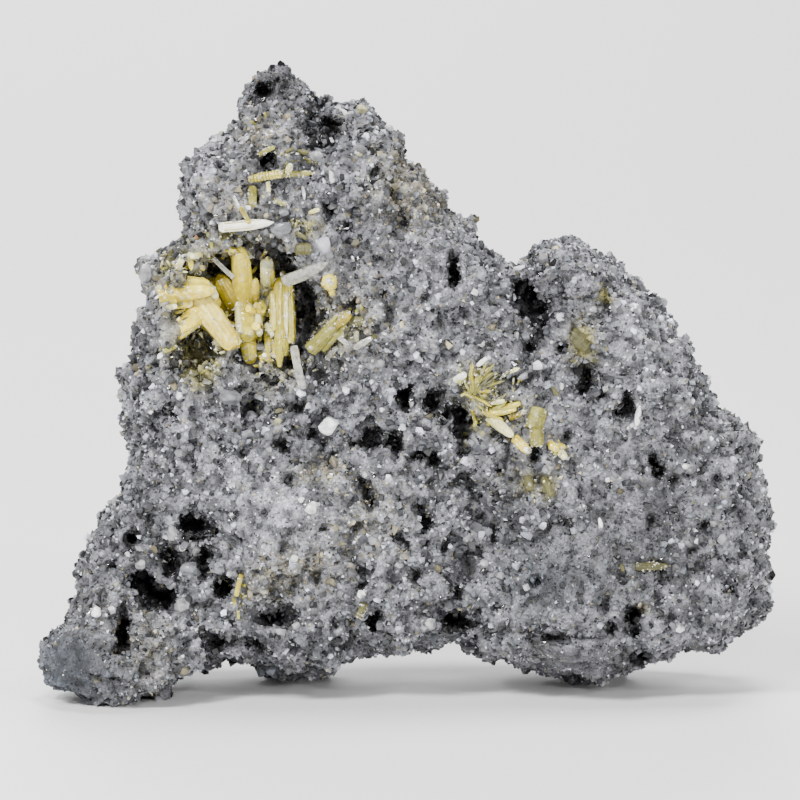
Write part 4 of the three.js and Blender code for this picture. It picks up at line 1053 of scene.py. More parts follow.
def small_crystals(luck):
    """Rows of small crystals, with their ends as plain points."""
    rows = []
    for x, h, half_width, half_height, count, least, most, tints in SMALL_SPOTS:
        for _ in range(count):
            turn, out = 2 * math.pi * luck.random(), math.sqrt(luck.random())
            aside, up = half_width * out * math.cos(turn), half_height * out * math.sin(turn)
            seen = place(x + aside, h + up, BEFORE)
            foot, normal, _, _ = rock_tree.ray_cast(seen, SIGHT_LINE)
            length = least + (most - least) * luck.random() ** 2
            way = (normal + Vector(luck.normal(size=3) * LEAN)).normalized()
            start, end = foot - way * ROOTED * length, foot + way * (1 - ROOTED) * length
            wide = length * by_luck(*STOUTNESS, luck)
            habit, tint = luck.choice(SMALL_HABITS), luck.choice(SMALL_TINTS[tints])
            if min(start.z, end.z) > GROUND_GAP:
                rows.append((start, end, wide, habit, SAME_AGAIN * luck.random(), tint))
    return rows


small_rows = small_crystals(np.random.default_rng(12))
lining_size = {"seed": 13, "columns": 2, "rings": 4}
lining, _, lining_surface = crystal_group("small_crystals", small_rows, as_given, **lining_size)
settle(lining, honey_finish, "yellow")
print("small crystals:", len(small_rows), "triangles:", len(lining.data.polygons))

# %% [markdown]
# ## Crystals on the front
# The rest lie scattered on the druse: needles above the vug, a spindle to its right, two fans
# of thin crystals beyond the middle, and a few small prisms lower down. Later some fine quartz
# is dusted on them, but a few are named as clean.

# %% Spread fibres into a fan
FIBRE_TINTS = ("lime", "cream", "honey", "lime", "khaki", "moss")
FIBRE_LENGTH, FIBRE_WIDTH, FIBRE_OUT = (0.6, 0.4), (0.7, 0.6), (0.4, 0.5)
FIBRE_TURN, FOOT_X, FOOT_H = 0.08, 0.25, 0.2  # how far luck turns a fibre and moves its foot
FOOT_OUT = 0.1


def fan_rows(foot, angles, length, count, wide, seed):
    """Rows of thin crystals that spread from one foot between two angles, in degrees."""
    luck = np.random.default_rng(seed)
    rows = []
    for turn in np.linspace(math.radians(angles[0]), math.radians(angles[1]), count):
        reach = length * by_luck(*FIBRE_LENGTH, luck)
        turn += FIBRE_TURN * luck.normal()
        x, h = foot[0] + FOOT_X * luck.normal(), foot[1] + FOOT_H * luck.normal()
        out = by_luck(*FIBRE_OUT, luck)
        end = (x + reach * math.cos(turn), h + reach * math.sin(turn), out)
        habit = "dart" if luck.random() < 0.5 else "needle"
        thick = wide * by_luck(*FIBRE_WIDTH, luck)
        rows.append(((x, h, FOOT_OUT), end, thick, habit, 0, luck.choice(FIBRE_TINTS)))
    return rows


print("fibre tints:", len(FIBRE_TINTS))

# %% Note the crystals around the vug
FRONT_CRYSTALS = {
    # finish, slot, the frame's node, rows of start, end, width, habit, roll and tint
    "white_barrel": ("frosted", "pale", "white_barrel_crystal", [
        ((-14.0, 34.62, 1.15), (-9.9, 35.02, 1.05), 0.95, "dart", 0, "white"),
        ((-13.6, 34.9, 1.54), (-11.0, 35.16, 1.46), 0.1, "needle", 0, "honey"),
        ((-13.6, 34.42, 1.54), (-11.0, 34.68, 1.46), 0.1, "needle", 0, "honey"),
    ]),
    "end_on_bullet": ("honey", "yellow", "end_on_crystal", [
        ((-5.65, 30.45, -0.5), (-5.8, 30.65, 1.0), 1.45, "bullet", 15, "gold"),
        # painted glint: this small white crystal stands in for a highlight on the bullet
        ((-5.5, 30.6, -0.3), (-5.55, 29.6, 0.7), 0.7, "barrel", 0, "gold"),
        ((-6.0, 30.75, 0.9), (-5.5, 30.45, 1.0), 0.4, "barrel", 0, "white"),
    ]),
    "olive_block": ("khaki", "olive", "olive_block_crystal", [
        ((-8.35, 33.0, 0.15), (-7.1, 33.05, 0.35), 1.05, "barrel", 20, "khaki"),
        ((-8.3, 34.3, 0.1), (-7.5, 33.8, 0.4), 0.4, "barrel", 0, "khaki"),
        ((-9.1, 40.2, 0.1), (-8.4, 40.5, 0.3), 0.5, "barrel", 0, "khaki"),
        ((-8.2, 40.35, 0.1), (-7.3, 40.2, 0.3), 0.45, "barrel", 0, "khaki"),
        ((-7.3, 35.7, 0.1), (-6.5, 36.0, 0.3), 0.4, "barrel", 0, "cream"),
    ]),
    "olive_scale": ("khaki", "olive", None, [
        ((12.3, 26.9, -0.3), (13.6, 25.6, 0.0), 1.4, "barrel", 0, "dusk"),
        ((13.3, 26.0, -0.1), (14.3, 24.5, 0.15), 0.8, "dart", 0, "dusk"),
        ((9.0, 16.1, 0.0), (9.3, 15.0, 0.3), 0.8, "barrel", 0, "khaki"),
        ((10.2, 16.0, 0.0), (10.9, 14.6, 0.3), 0.7, "barrel", 0, "khaki"),
        ((16.05, 9.5, 0.1), (16.2, 8.9, 0.3), 0.4, "barrel", 0, "dusk"),
        ((10.9, 22.7, 0.1), (11.3, 22.1, 0.3), 0.4, "barrel", 0, "khaki"),
    ]),
    "barred_needles": ("honey", "yellow", "barred_needle", [
        ((-11.8, 38.2, 0.5), (-9.3, 38.65, 0.6), 0.74, "stacked", 0, "honey"),
        ((-9.5, 38.6, 0.3), (-6.9, 38.7, 0.3), 0.6, "needle", 0, "moss"),
        ((-8.9, 38.7, 0.5), (-8.65, 39.35, 0.7), 0.55, "barrel", 0, "cream"),
        ((-10.35, 38.0, 0.3), (-10.3, 37.3, 0.45), 0.35, "prism", 0, "cream"),
    ]),
    "square_prism_crystal": ("khaki", "pale", "square_prism", [
        ((-11.5, 37.6, 0.3), (-11.5, 36.3, 0.5), 0.72, "prism", 0, "moss"),
        ((-9.9, 36.65, 0.3), (-8.9, 36.35, 0.4), 0.35, "needle", 0, "lime"),
    ]),
    "top_needle_crystal": ("frosted", "pale", "top_needle", [
        ((-11.0, 40.1, 0.4), (-9.95, 40.6, 0.5), 0.38, "prism", 0, "lime"),
    ]),
    "right_spindle": ("khaki", "olive", "right_spindle_crystal", [
        ((-7.15, 25.55, 1.0), (-4.3, 28.3, 1.0), 1.35, "bullet", 8, "moss"),
        ((-6.9, 26.2, 1.15), (-5.1, 28.05, 1.2), 0.55, "barrel", 0, "lime"),
        ((-6.2, 25.4, 1.1), (-4.6, 27.3, 1.1), 0.4, "barrel", 0, "moss"),
        ((-5.4, 27.2, 1.15), (-4.2, 28.2, 1.1), 0.8, "barrel", 0, "amber"),
        ((-4.4, 27.6, 0.3), (-3.1, 27.7, 0.4), 0.9, "barrel", 0, "khaki"),
    ]),
}
print("pieces around the vug:", len(FRONT_CRYSTALS))

# %% Note the fans and the low crystals
FRONT_CRYSTALS |= {
    "upper_fan": ("honey", "yellow", "upper_fan_crystals", [
        *fan_rows((5.0, 22.4), (15, 108), 2.5, 17, 0.3, 41),
        # painted highlight: this small white crystal stands in for a highlight on the fan
        ((5.3, 24.3, 0.5), (6.0, 24.9, 0.9), 0.42, "barrel", 0, "white"),
        ((3.6, 23.2, 0.1), (4.4, 23.7, 0.5), 0.7, "barrel", 0, "white"),
        ((4.9, 22.5, 0.1), (6.3, 22.4, 0.5), 0.36, "barrel", 0, "honey"),
    ]),
    "lower_fan": ("honey", "yellow", "lower_fan_crystals", [
        *fan_rows((4.8, 21.9), (-52, -28), 2.3, 7, 0.26, 42),
        *fan_rows((6.1, 20.9), (2, 30), 2.4, 6, 0.4, 43),
        ((6.2, 20.9, 0.3), (8.5, 21.5, 0.6), 0.6, "barrel", 0, "honey"),
        ((6.2, 20.8, 0.4), (8.2, 21.1, 0.8), 0.6, "barrel", 20, "gold"),
        ((6.3, 21.5, 0.3), (7.3, 21.7, 0.8), 0.45, "barrel", 0, "cream"),
        ((4.9, 21.0, 0.2), (5.2, 19.9, 0.5), 0.3, "needle", 0, "honey"),
        ((6.2, 20.45, 0.2), (7.95, 19.05, 0.9), 0.95, "bullet", 0, "cream"),
        ((5.6, 20.9, 0.2), (7.2, 20.2, 0.7), 0.5, "barrel", 0, "honey"),
    ]),
    "dark_needle_crystal": ("khaki", "olive", "dark_needle", [
        ((7.7, 20.35, 0.4), (9.0, 20.95, 0.5), 0.42, "dart", 0, "amber"),
    ]),
    "small_bullet": ("honey", "pale", "small_bullet_crystal", [
        ((8.1, 18.9, 0.1), (9.2, 17.8, 0.9), 0.9, "bullet", 0, "gold"),
        # painted highlight: this small white crystal stands in for the bullet's bright end
        ((8.8, 18.2, 0.7), (9.15, 17.85, 1.0), 0.45, "barrel", 0, "white"),
    ]),
    "flat_prism_crystal": ("khaki", "olive", "flat_prism", [
        ((9.5, 19.6, 0.2), (9.9, 21.1, 0.3), 1.5, "prism", 10, "moss"),
        ((9.65, 20.0, 0.2), (9.75, 18.4, 0.4), 1.15, "prism", 25, "moss"),
    ]),
    "end_on_bullets": ("honey", "pale", "end_on_pair", [
        ((10.7, 18.6, 0.0), (11.25, 18.0, 0.7), 0.75, "barrel", 12, "gold"),
        ((11.4, 18.0, 0.0), (11.85, 17.45, 0.7), 0.7, "barrel", 0, "cream"),
        ((11.3, 18.45, 0.0), (11.8, 18.2, 0.5), 0.5, "barrel", 30, "honey"),
        ((10.8, 18.1, 0.0), (11.2, 17.7, 0.5), 0.4, "barrel", 30, "honey"),
    ]),
    "low_right_prism_crystal": ("khaki", "olive", "low_right_prism", [
        ((17.1, 9.25, 0.25), (19.7, 9.35, 0.3), 0.72, "dart", 0, "dusk"),
    ]),
    "low_left_prism_crystal": ("khaki", "olive", "low_left_prism", [
        ((-12.35, 8.7, 0.3), (-12.75, 7.1, 0.4), 0.42, "prism", 0, "honey"),
    ]),
    "low_centre_prism_crystal": ("khaki", "olive", "low_centre_prism", [
        ((-3.1, 6.5, 0.2), (-3.6, 5.5, 0.45), 0.66, "prism", 0, "khaki"),
    ]),
}
print("crystals of the front:", sum(len(rows) for _, _, _, rows in FRONT_CRYSTALS.values()))

# %% Make the pieces of the front
FINISH = {"honey": honey_finish, "khaki": khaki_finish, "frosted": frosted_finish}
CLEAN = ("olive_block", "olive_scale", "white_barrel", "upper_fan", "lower_fan")
FRONT_SEED = 100

front_axes, surfaces = [], [vug_surface]
for number, (name, (finish, slot, node, rows)) in enumerate(FRONT_CRYSTALS.items()):
    piece, axes, surface = crystal_group(name, rows, over_front, seed=FRONT_SEED + number)
    settle(piece, FINISH[finish], slot, *([node] if node else []))
    front_axes += axes
    if name not in CLEAN:
        surfaces.append(surface)
print("pieces on the front:", len(FRONT_CRYSTALS))

# %% [markdown]
# The clear crystals are few, but they give the vug its sparkle. They are nearly smooth, so
# two columns of points on a side are enough. One slim yellow crystal leans on the white one
# above the vug.

# %% Set the clear crystals
CLEAR_OVER_VUG = [
    ((-12.55, 33.0, -0.2), (-12.5, 34.4, 0.3), 0.5, "prism", 30, "clear"),
    ((-14.5, 32.4, -0.5), (-12.95, 30.9, -0.1), 0.42, "prism", 0, "clear"),
    ((-15.4, 30.9, -3.0), (-16.1, 32.9, -0.1), 0.5, "needle", 0, "clear"),
    ((-15.2, 31.0, -3.0), (-14.9, 32.8, -0.5), 0.45, "needle", 20, "clear"),
    ((-15.6, 31.2, -2.6), (-17.4, 32.2, -0.2), 0.5, "needle", 10, "clear"),
    ((-8.4, 25.7, 1.0), (-7.75, 22.7, 2.9), 0.7, "prism", 10, "clear"),
    ((-16.9, 25.7, -0.9), (-18.3, 26.3, 0.2), 0.5, "barrel", 0, "clear"),
    ((-17.3, 23.8, -0.5), (-16.4, 24.7, 0.3), 0.6, "barrel", 0, "clear"),
    ((-9.15, 30.6, 0.5), (-5.9, 32.0, 2.7), 1.05, "dart", 10, "clear"),
    ((-16.3, 31.3, -0.3), (-15.5, 32.1, 0.3), 0.6, "barrel", 0, "clear"),
]
CLEAR_ON_FRONT = [
    ((-5.3, 26.7, 0.3), (-4.3, 25.8, 0.6), 0.5, "needle", 0, "clear"),
    ((-3.9, 25.6, 0.3), (-2.6, 26.4, 0.5), 0.55, "barrel", 0, "clear"),
    ((-6.0, 24.8, 0.3), (-5.2, 25.7, 0.5), 0.5, "barrel", 0, "clear"),
    ((-12.9, 36.9, 0.4), (-12.4, 35.9, 0.7), 0.34, "needle", 0, "clear"),
]
LEAN_NEEDLES = [((-12.4, 36.1, 0.6), (-11.75, 35.0, 1.1), 0.38, "prism", 0, "honey")]

made = crystal_group("clear_vug_needles", CLEAR_OVER_VUG, over_vug, seed=31, columns=2)
settle(made[0], clear_finish, "clear", "clear_prism")
front_axes += made[1]
made = crystal_group("clear_needles", CLEAR_ON_FRONT, over_front, seed=32, columns=2)
settle(made[0], clear_finish, "clear")
front_axes += made[1]
made = crystal_group("lean_needles", LEAN_NEEDLES, over_front, seed=33)
settle(made[0], honey_finish, "yellow")
front_axes += made[1]
print("clear crystals:", len(CLEAR_OVER_VUG) + len(CLEAR_ON_FRONT))

# %% [markdown]
# ## Sowing the grains
# Points thrown on the skin at random fall in clumps and leave holes. Druse is closer packed,
# so a point is kept only if no earlier one lies nearer than a grain's width. Two sowings are
# made: nuggets, which are the grains that one can tell apart, and much finer sugar between
# them. The back is a broken face and gets fewer grains. Few grow in a deep pit, and none
# through a large crystal.

# %% Choose the grains' spots
triangles = np.concatenate([squares[:, [0, 1, 2]], squares[:, [0, 2, 3]]])
BACK_FROM = 1.5  # the back begins at this Y
DEEP, PIT_LOSS = 0.45, 0.6  # what counts as a deep pit, and the share of grains that it loses
GROUND_ROOM = 0.15


def throw_points(count, back_share, luck):
    """Random points on the skin with their normals and nearest skin points."""
    a, b, c = (skin[triangles[:, k]] for k in range(3))
    cross = np.cross(b - a, c - a)
    area = np.linalg.norm(cross, axis=1)
    weight = area * np.where(a[:, 1] > BACK_FROM, back_share, 1.0)
    weight = weight * (1 - PIT_LOSS * (pit[triangles[:, 0]] > DEEP))
    chosen = luck.choice(len(triangles), size=count, p=weight / weight.sum())
    u, v = luck.random((2, count))
    flip = u + v > 1
    u, v = np.where(flip, 1 - u, u)[:, None], np.where(flip, 1 - v, v)[:, None]
    spots = a[chosen] + u * (b - a)[chosen] + v * (c - a)[chosen]
    return spots, cross[chosen] / area[chosen, None], triangles[chosen, 0]


def keep_apart(spots, spacing):
    """Indices of points of which no two are nearer than the spacing."""
    taken = {}
    kept = []
    cells = np.floor(spots / spacing).astype(int)
    steps = [(i, j, k) for i in (-1, 0, 1) for j in (-1, 0, 1) for k in (-1, 0, 1)]
    for index, (cell, spot) in enumerate(zip(cells.tolist(), spots.tolist())):
        near = (taken.get((cell[0] + i, cell[1] + j, cell[2] + k)) for i, j, k in steps)
        if all(other is None or math.dist(other, spot) >= spacing for other in near):
            taken[tuple(cell)] = spot
            kept.append(index)
    return np.array(kept)


def clear_of(axes, spots, room):
    """True where a spot is farther than room from every crystal's surface."""
    free = np.ones(len(spots), bool)
    for start, end, radius in axes:
        along = end - start
        share = np.clip((spots - start) @ along / (along @ along), 0, 1)
        gap = np.linalg.norm(spots - start - share[:, None] * along, axis=1)
        free &= gap > radius + room
    return free


def sow(count, spacing, back_share, room, seed):
    """Spots, normals and nearest skin points of one sowing."""
    luck = np.random.default_rng(seed)
    spots, ways, nearest = throw_points(count, back_share, luck)
    kept = keep_apart(spots, spacing)
    spots, ways, nearest = spots[kept], ways[kept], nearest[kept]
    free = clear_of(vug_axes + front_axes, spots, room) & (spots[:, 2] > GROUND_ROOM)
    return spots[free], ways[free], nearest[free]


NUGGET_SOWING = {"count": 26_000, "spacing": 0.38, "back_share": 0.6, "room": 0.12, "seed": 5}
SUGAR_SOWING = {"count": 88_000, "spacing": 0.2, "back_share": 0.3, "room": 0.03, "seed": 6}
nugget_spots, nugget_ways, nugget_near = sow(**NUGGET_SOWING)
sugar_spots, sugar_ways, sugar_near = sow(**SUGAR_SOWING)
print("nuggets:", len(nugget_spots), "sugar grains:", len(sugar_spots))

# %% [markdown]
# ## The form of a grain
# A nugget is a stubby crystal: a ring of five points sunk in the skin, a second ring above it
# and a tip. A high, narrow second ring makes a little prism with a point; a low, uneven one
# makes a rounded lump. All nuggets share this net of fifteen triangles, so arrays can hold
# them all. A sugar grain has one ring and a tip, which at a fifth of a millimetre is enough.

# %% Frames and rings of the grains
RING = 5
NUGGET_TILT, SUGAR_TILT = 0.5, 0.7  # how far a grain leans from the skin's normal
TURN_LUCK, SQUASH = 0.3, (0.75, 0.5)  # how uneven and how flat a ring is


def grain_frames(ways, tilt, luck):
    """Axis and two directions across it for each grain."""
    axes = unit(ways + tilt * luck.normal(size=ways.shape))
    return axes, *square_to(axes)


def grain_ring(side, across, luck):
    """An uneven ring of directions around each grain's axis."""
    count = len(side)
    turns = np.arange(RING) * 2 * math.pi / RING
    turns = turns + 2 * math.pi * luck.random((count, 1))
    turns = turns + TURN_LUCK * luck.normal(size=(count, RING))
    squash = by_luck(*SQUASH, luck, (count, 1))
    first = (np.cos(turns) * squash)[:, :, None] * side[:, None]
    return first + np.sin(turns)[:, :, None] * across[:, None]


print("points in a ring:", RING)

# %% Shape the grains
NUGGET_ROOT, SUGAR_ROOT = 0.6, 0.35  # depth of the lower ring, in half-widths
NUGGET_TALL, SUGAR_TALL = (0.6, 0.9), (0.8, 0.8)  # height, in half-widths
UPPER, LEVEL, UNEVEN = (0.62, 0.36), (0.45, 0.3), 0.1  # width and level of a nugget's upper ring
TIP_LEAN = 0.3


def shape_nuggets(spots, ways, sizes, luck):
    """Points of all nuggets: grains by points by coordinates."""
    count = len(spots)
    axes, side, across = grain_frames(ways, NUGGET_TILT, luck)
    ring = grain_ring(side, across, luck)
    wide = sizes[:, None, None]
    tall = sizes * by_luck(*NUGGET_TALL, luck, count)
    upper = by_luck(*UPPER, luck, (count, 1)) + UNEVEN * luck.normal(size=(count, RING))
    level = by_luck(*LEVEL, luck, (count, 1)) + UNEVEN * luck.normal(size=(count, RING))
    low = spots[:, None] + ring * wide - axes[:, None] * (NUGGET_ROOT * wide)
    high = spots[:, None] + ring * wide * upper[:, :, None]
    high = high + axes[:, None] * (tall[:, None] * level)[:, :, None]
    lean = TIP_LEAN * sizes[:, None] * luck.normal(size=(count, 3))
    tip = spots + axes * tall[:, None] + lean
    points = np.concatenate([low, high, tip[:, None]], axis=1)
    points[:, :, 2] = np.maximum(points[:, :, 2], 0.0)
    return points


def shape_sugar(spots, ways, sizes, luck):
    """Points of all sugar grains: one ring and a tip each."""
    axes, side, across = grain_frames(ways, SUGAR_TILT, luck)
    ring = grain_ring(side, across, luck)
    wide = sizes[:, None, None]
    tall = sizes * by_luck(*SUGAR_TALL, luck, len(spots))
    low = spots[:, None] + ring * wide - axes[:, None] * (SUGAR_ROOT * wide)
    tip = spots + axes * tall[:, None]
    points = np.concatenate([low, tip[:, None]], axis=1)
    points[:, :, 2] = np.maximum(points[:, :, 2], 0.0)
    return points


print("tallest nugget and sugar grain, in half-widths:", sum(NUGGET_TALL), sum(SUGAR_TALL))

# %% Net and map of a grain


def ring_places(radius):
    """A ring of places in a cell of the map, around its middle."""
    turns = np.arange(RING) * 2 * math.pi / RING
    return radius * np.stack([np.cos(turns), np.sin(turns)], axis=1)


around = [(k, (k + 1) % RING) for k in range(RING)]
TIP = 2 * RING
OUTER, INNER = 0.46, 0.3  # where the lower and the upper ring lie in a cell of the map
NUGGET_NET = np.array(
    [(k, n, RING + k) for k, n in around]
    + [(n, RING + n, RING + k) for k, n in around]
    + [(RING + k, RING + n, TIP) for k, n in around]
)
NUGGET_MAP = 0.5 + np.concatenate([ring_places(OUTER), ring_places(INNER), [[0, 0]]])
SUGAR_NET = np.array([(k, n, RING) for k, n in around])
SUGAR_MAP = 0.5 + np.concatenate([ring_places(OUTER), [[0, 0]]])
print("triangles of a nugget:", len(NUGGET_NET), "and of a sugar grain:", len(SUGAR_NET))

# %% Give the grains their sizes
luck = np.random.default_rng(8)
NUGGET_SIZES, SUGAR_SIZES = (0.16, 0.4), (0.1, 0.2)  # half-widths, least and most
NUGGET_POWER, SUGAR_POWER = 2.2, 1.5  # the higher, the rarer large grains are
CALM_SHRINK, QUIET_SHRINK, CALM_THINNING = 0.35, 0.2, 0.8


def grain_sizes(limits, power, near, luck):
    """Half-widths; calm places have the smallest grains."""
    share = luck.random(len(near)) ** power * (1 - calm[near])
    small = (1 - CALM_SHRINK * calm[near]) * (1 - QUIET_SHRINK * quiet[near])
    return (limits[0] + (limits[1] - limits[0]) * share) * small


loud = luck.random(len(nugget_near)) > CALM_THINNING * calm[nugget_near]
nugget_spots, nugget_ways, nugget_near = nugget_spots[loud], nugget_ways[loud], nugget_near[loud]
nugget_sizes = grain_sizes(NUGGET_SIZES, NUGGET_POWER, nugget_near, luck)
sugar_sizes = grain_sizes(SUGAR_SIZES, SUGAR_POWER, sugar_near, luck)
nuggets = shape_nuggets(nugget_spots, nugget_ways, nugget_sizes, luck)
sugar = shape_sugar(sugar_spots, sugar_ways, sugar_sizes, luck)
print("mean width of a nugget in mm:", round(2 * float(nugget_sizes.mean()), 2))

# %% [markdown]
# ## The tone of a grain
# A grain takes its tone from the patch that it grows in, a little lighter or darker than its
# neighbours, and it gets painted shade where it is hidden or in a noted pit. Some are clear
# enough to look dark, and these have the bright faces that glint; a few are white, partly milk
# white quartz and partly painted glints, more of the sugar than of the nuggets. Stained spots
# turn part of their grains gold, olive or steel blue.

# %% Colour the grains
CLEAR_SHARE = 0.14
# shares of gold grains outside stained spots, and of white grains (milk white and painted glints)
NUGGET_SHARES, SUGAR_SHARES = (0.012, 0.055), (0.045, 0.13)
QUIET_WHITES = 0.6  # the share of its white grains that a quiet place loses
LOW_TONE, HIGH_TONE = 0.042, 0.31
TONE_LUCK, TONE_LIMITS = 0.4, (0.3, 2.2)  # how much neighbours differ
CLEAR_TONE, WHITE_AND_GLINT_TONE, WHITEST = (0.02, 0.05), (0.55, 0.4), 0.9
PLAIN_ROUGH, CLEAR_ROUGH, WHITE_ROUGH = (0.2, 0.4), (0.04, 0.12), (0.1, 0.3)
GRAIN_LIGHT, GRAIN_STREAKS = (0.2, 1.8), 0.8  # limits of light spots, and strength of layers
GRAIN_HUE, HUE_LUCK = np.array([0.98, 1.0, 1.09]), np.array([0.02, 0.0, -0.03])
STAIN_SHARE, STAIN_TONE, STAIN_LIMITS = (0.4, 0.6), (0.25, 0.75), (0.15, 1.6)
FLECK_TONE, FLECK_LIMITS = (0.2, 0.8), (0, 1.6)
MOST_STAINED, MOST_GOLD = 0.9, 0.5  # shares of a spot's grains that are stained at most
GOLD = np.array([0.4, 0.345, 0.21])
OLIVE = np.array([0.27, 0.25, 0.075])
STEEL = np.array([0.2, 0.225, 0.27])


def grain_tones(spots, near, white_and_glint_share, luck):
    """A grey per grain and its roughness."""
    count = len(spots)
    kind = luck.random(count)
    grey = LOW_TONE + (HIGH_TONE - LOW_TONE) * frost_at(spots)
    grey = grey * (1 + TONE_LUCK * luck.normal(size=count)).clip(*TONE_LIMITS)
    rough = by_luck(*PLAIN_ROUGH, luck, count)
    clear = kind < CLEAR_SHARE
    # White grains: milk-white quartz, and partly painted glints.
    white = kind > 1 - white_and_glint_share * (1 - QUIET_WHITES * quiet[near])
    grey[clear] = by_luck(*CLEAR_TONE, luck, clear.sum())
    rough[clear] = by_luck(*CLEAR_ROUGH, luck, clear.sum())
    grey[white] = by_luck(*WHITE_AND_GLINT_TONE, luck, white.sum())
    rough[white] = by_luck(*WHITE_ROUGH, luck, white.sum())
    # Painted shade: grains in hidden places and in noted pits are darkened.
    grey = grey * np.clip(1 + zone(LIGHT_SPOTS, spots), *GRAIN_LIGHT) * shaded(hidden[near])
    grey = grey * (1 + GRAIN_STREAKS * calm[near] * streak[near])
    grey = grey * (1 - PIT_SHADE * pit[near])
    return np.clip(grey, 0, WHITEST), rough


def stained(colours, spots, places, stain, luck, most=MOST_STAINED):
    """Turns grains of a spot to a stain's colour, the more the nearer to its middle."""
    strength = zone(places, spots)
    chosen = luck.random(len(spots)) < np.clip(strength, 0, most)
    share = by_luck(*STAIN_SHARE, luck, (len(spots), 1))
    bright = colours.mean(axis=1, keepdims=True) / stain.mean()
    turned = stain * np.clip(STAIN_TONE[0] + STAIN_TONE[1] * bright, *STAIN_LIMITS)
    return np.where(chosen[:, None], colours * (1 - share) + turned * share, colours)


def grain_colours(spots, near, fleck_share, white_and_glint_share, luck):
    """A colour per grain and its roughness."""
    grey, rough = grain_tones(spots, near, white_and_glint_share, luck)
    hue = luck.normal(size=(len(spots), 1)) * HUE_LUCK
    colours = grey[:, None] * (GRAIN_HUE + hue)
    fleck = luck.random(len(spots)) < fleck_share
    bright = grey[fleck, None] / GOLD.mean()
    colours[fleck] = GOLD * np.clip(FLECK_TONE[0] + FLECK_TONE[1] * bright, *FLECK_LIMITS)
    colours = stained(colours, spots, GOLD_SPOTS, GOLD, luck, most=MOST_GOLD)
    colours = stained(colours, spots, BLUE_SPOTS, STEEL, luck)
    colours = stained(colours, spots, OLIVE_SPOTS, OLIVE, luck)
    return colours, rough


nugget_colours, nugget_rough = grain_colours(nugget_spots, nugget_near, *NUGGET_SHARES, luck)
sugar_colours, sugar_rough = grain_colours(sugar_spots, sugar_near, *SUGAR_SHARES, luck)
print("mean tone:", round(float(nugget_colours.mean()), 3), round(float(sugar_colours.mean()), 3))

# %% [markdown]
# ## Grains worth noting
# Some grains are large or bright enough to be landmarks: a white block beside a pit, a pale
# pebble above the vug, one tiny rusty speck. Each gets a lump of its own: a ball squeezed to
# its size and cut by a dozen or so planes, which leave flat faces of slightly different
# tones. A noise makes the tones gritty.

# %% Note the landmark grains
LANDMARKS = [
    # x, h, half-width, half-height, turn, tone
    (17.35, 20.4, 0.24, 0.85, -4, "white"), (-16.3, 9.1, 0.66, 0.6, 0, "smoke"),
    (-15.9, 10.7, 0.4, 0.6, 8, "frost"), (-17.6, 11.7, 0.42, 0.65, 0, "frost"),
    (-16.8, 6.4, 0.7, 0.58, 15, "frost"), (-23.2, 5.9, 0.38, 0.36, 0, "white"),
    (-16.8, 10.7, 0.25, 0.24, 0, "bright"), (-19.9, 9.5, 0.45, 0.4, 0, "frost"),
    (-14.1, 9.0, 0.62, 0.26, -5, "smoke"), (0.49, 21.6, 0.32, 0.5, -12, "bright"),
    (-6.2, 33.3, 0.95, 0.6, -35, "lilac"), (-5.75, 19.9, 0.75, 0.7, 10, "white"),
    (-7.1, 13.7, 0.5, 0.42, 20, "bright"), (-3.4, 7.2, 0.3, 0.36, 0, "white"),
    (1.8, 5.0, 0.45, 0.4, 20, "frost"), (20.9, 16.8, 0.3, 0.22, 0, "bright"),
    (14.5, 12.5, 0.2, 0.5, 8, "white"),
    (-4.6, 43.2, 0.5, 0.2, -45, "white"), (-5.6, 38.4, 0.2, 0.55, 10, "bright"),
    (-7.7, 37.1, 0.16, 0.6, 8, "bright"), (-11.8, 36.1, 0.22, 0.22, 0, "white"),
    (-6.7, 40.0, 0.45, 0.4, 0, "frost"), (-9.4, 34.5, 0.8, 0.65, 20, "smoke"),
    (-9.8, 33.6, 0.55, 0.45, 0, "smoke"), (-19.5, 31.3, 0.6, 0.7, 0, "frost"),
    (-11.5, 20.4, 0.6, 0.5, 0, "smoke"), (-10.3, 19.1, 0.45, 0.45, 0, "smoke"),
    (-11.8, 19.2, 0.5, 0.45, 0, "smoke"), (8.2, 26.6, 0.26, 0.4, 0, "bright"),
    (14.0, 28.5, 0.35, 0.3, 0, "frost"), (-13.1, 41.1, 0.26, 0.26, 0, "bright"),
    (-7.9, 14.3, 0.3, 0.22, 0, "bright"), (-8.4, 9.9, 0.3, 0.26, 0, "bright"),
    (-3.5, 40.1, 0.22, 0.2, 0, "gold"), (-3.3, 43.5, 0.42, 0.4, 0, "gold"),
    (-15.7, 33.85, 0.16, 0.24, 0, "rust"), (-13.2, 22.0, 0.8, 0.6, 10, "smoke"),
    (-2.0, 24.5, 0.4, 0.3, 0, "frost"), (5.6, 26.0, 0.36, 0.3, 0, "bright"),
    (-20.9, 10.2, 0.24, 0.2, 0, "bright"), (11.6, 22.8, 0.2, 0.25, 0, "bright"),
    (-18.3, 25.05, 0.36, 0.22, 20, "white"), (-18.3, 8.2, 0.4, 0.3, 0, "smoke"),
    (-17.6, 7.9, 0.35, 0.3, 0, "frost"), (-18.9, 8.1, 0.3, 0.25, 0, "frost"),
]
LANDMARK_TONES = {
    "white": (0.8, 0.8, 0.78), "bright": (0.5, 0.5, 0.49), "frost": (0.22, 0.22, 0.225),
    "smoke": (0.13, 0.133, 0.143), "lilac": (0.33, 0.33, 0.37), "gold": (0.25, 0.235, 0.12),
    "rust": (0.22, 0.1, 0.045),
}
print("landmark grains:", len(LANDMARKS))

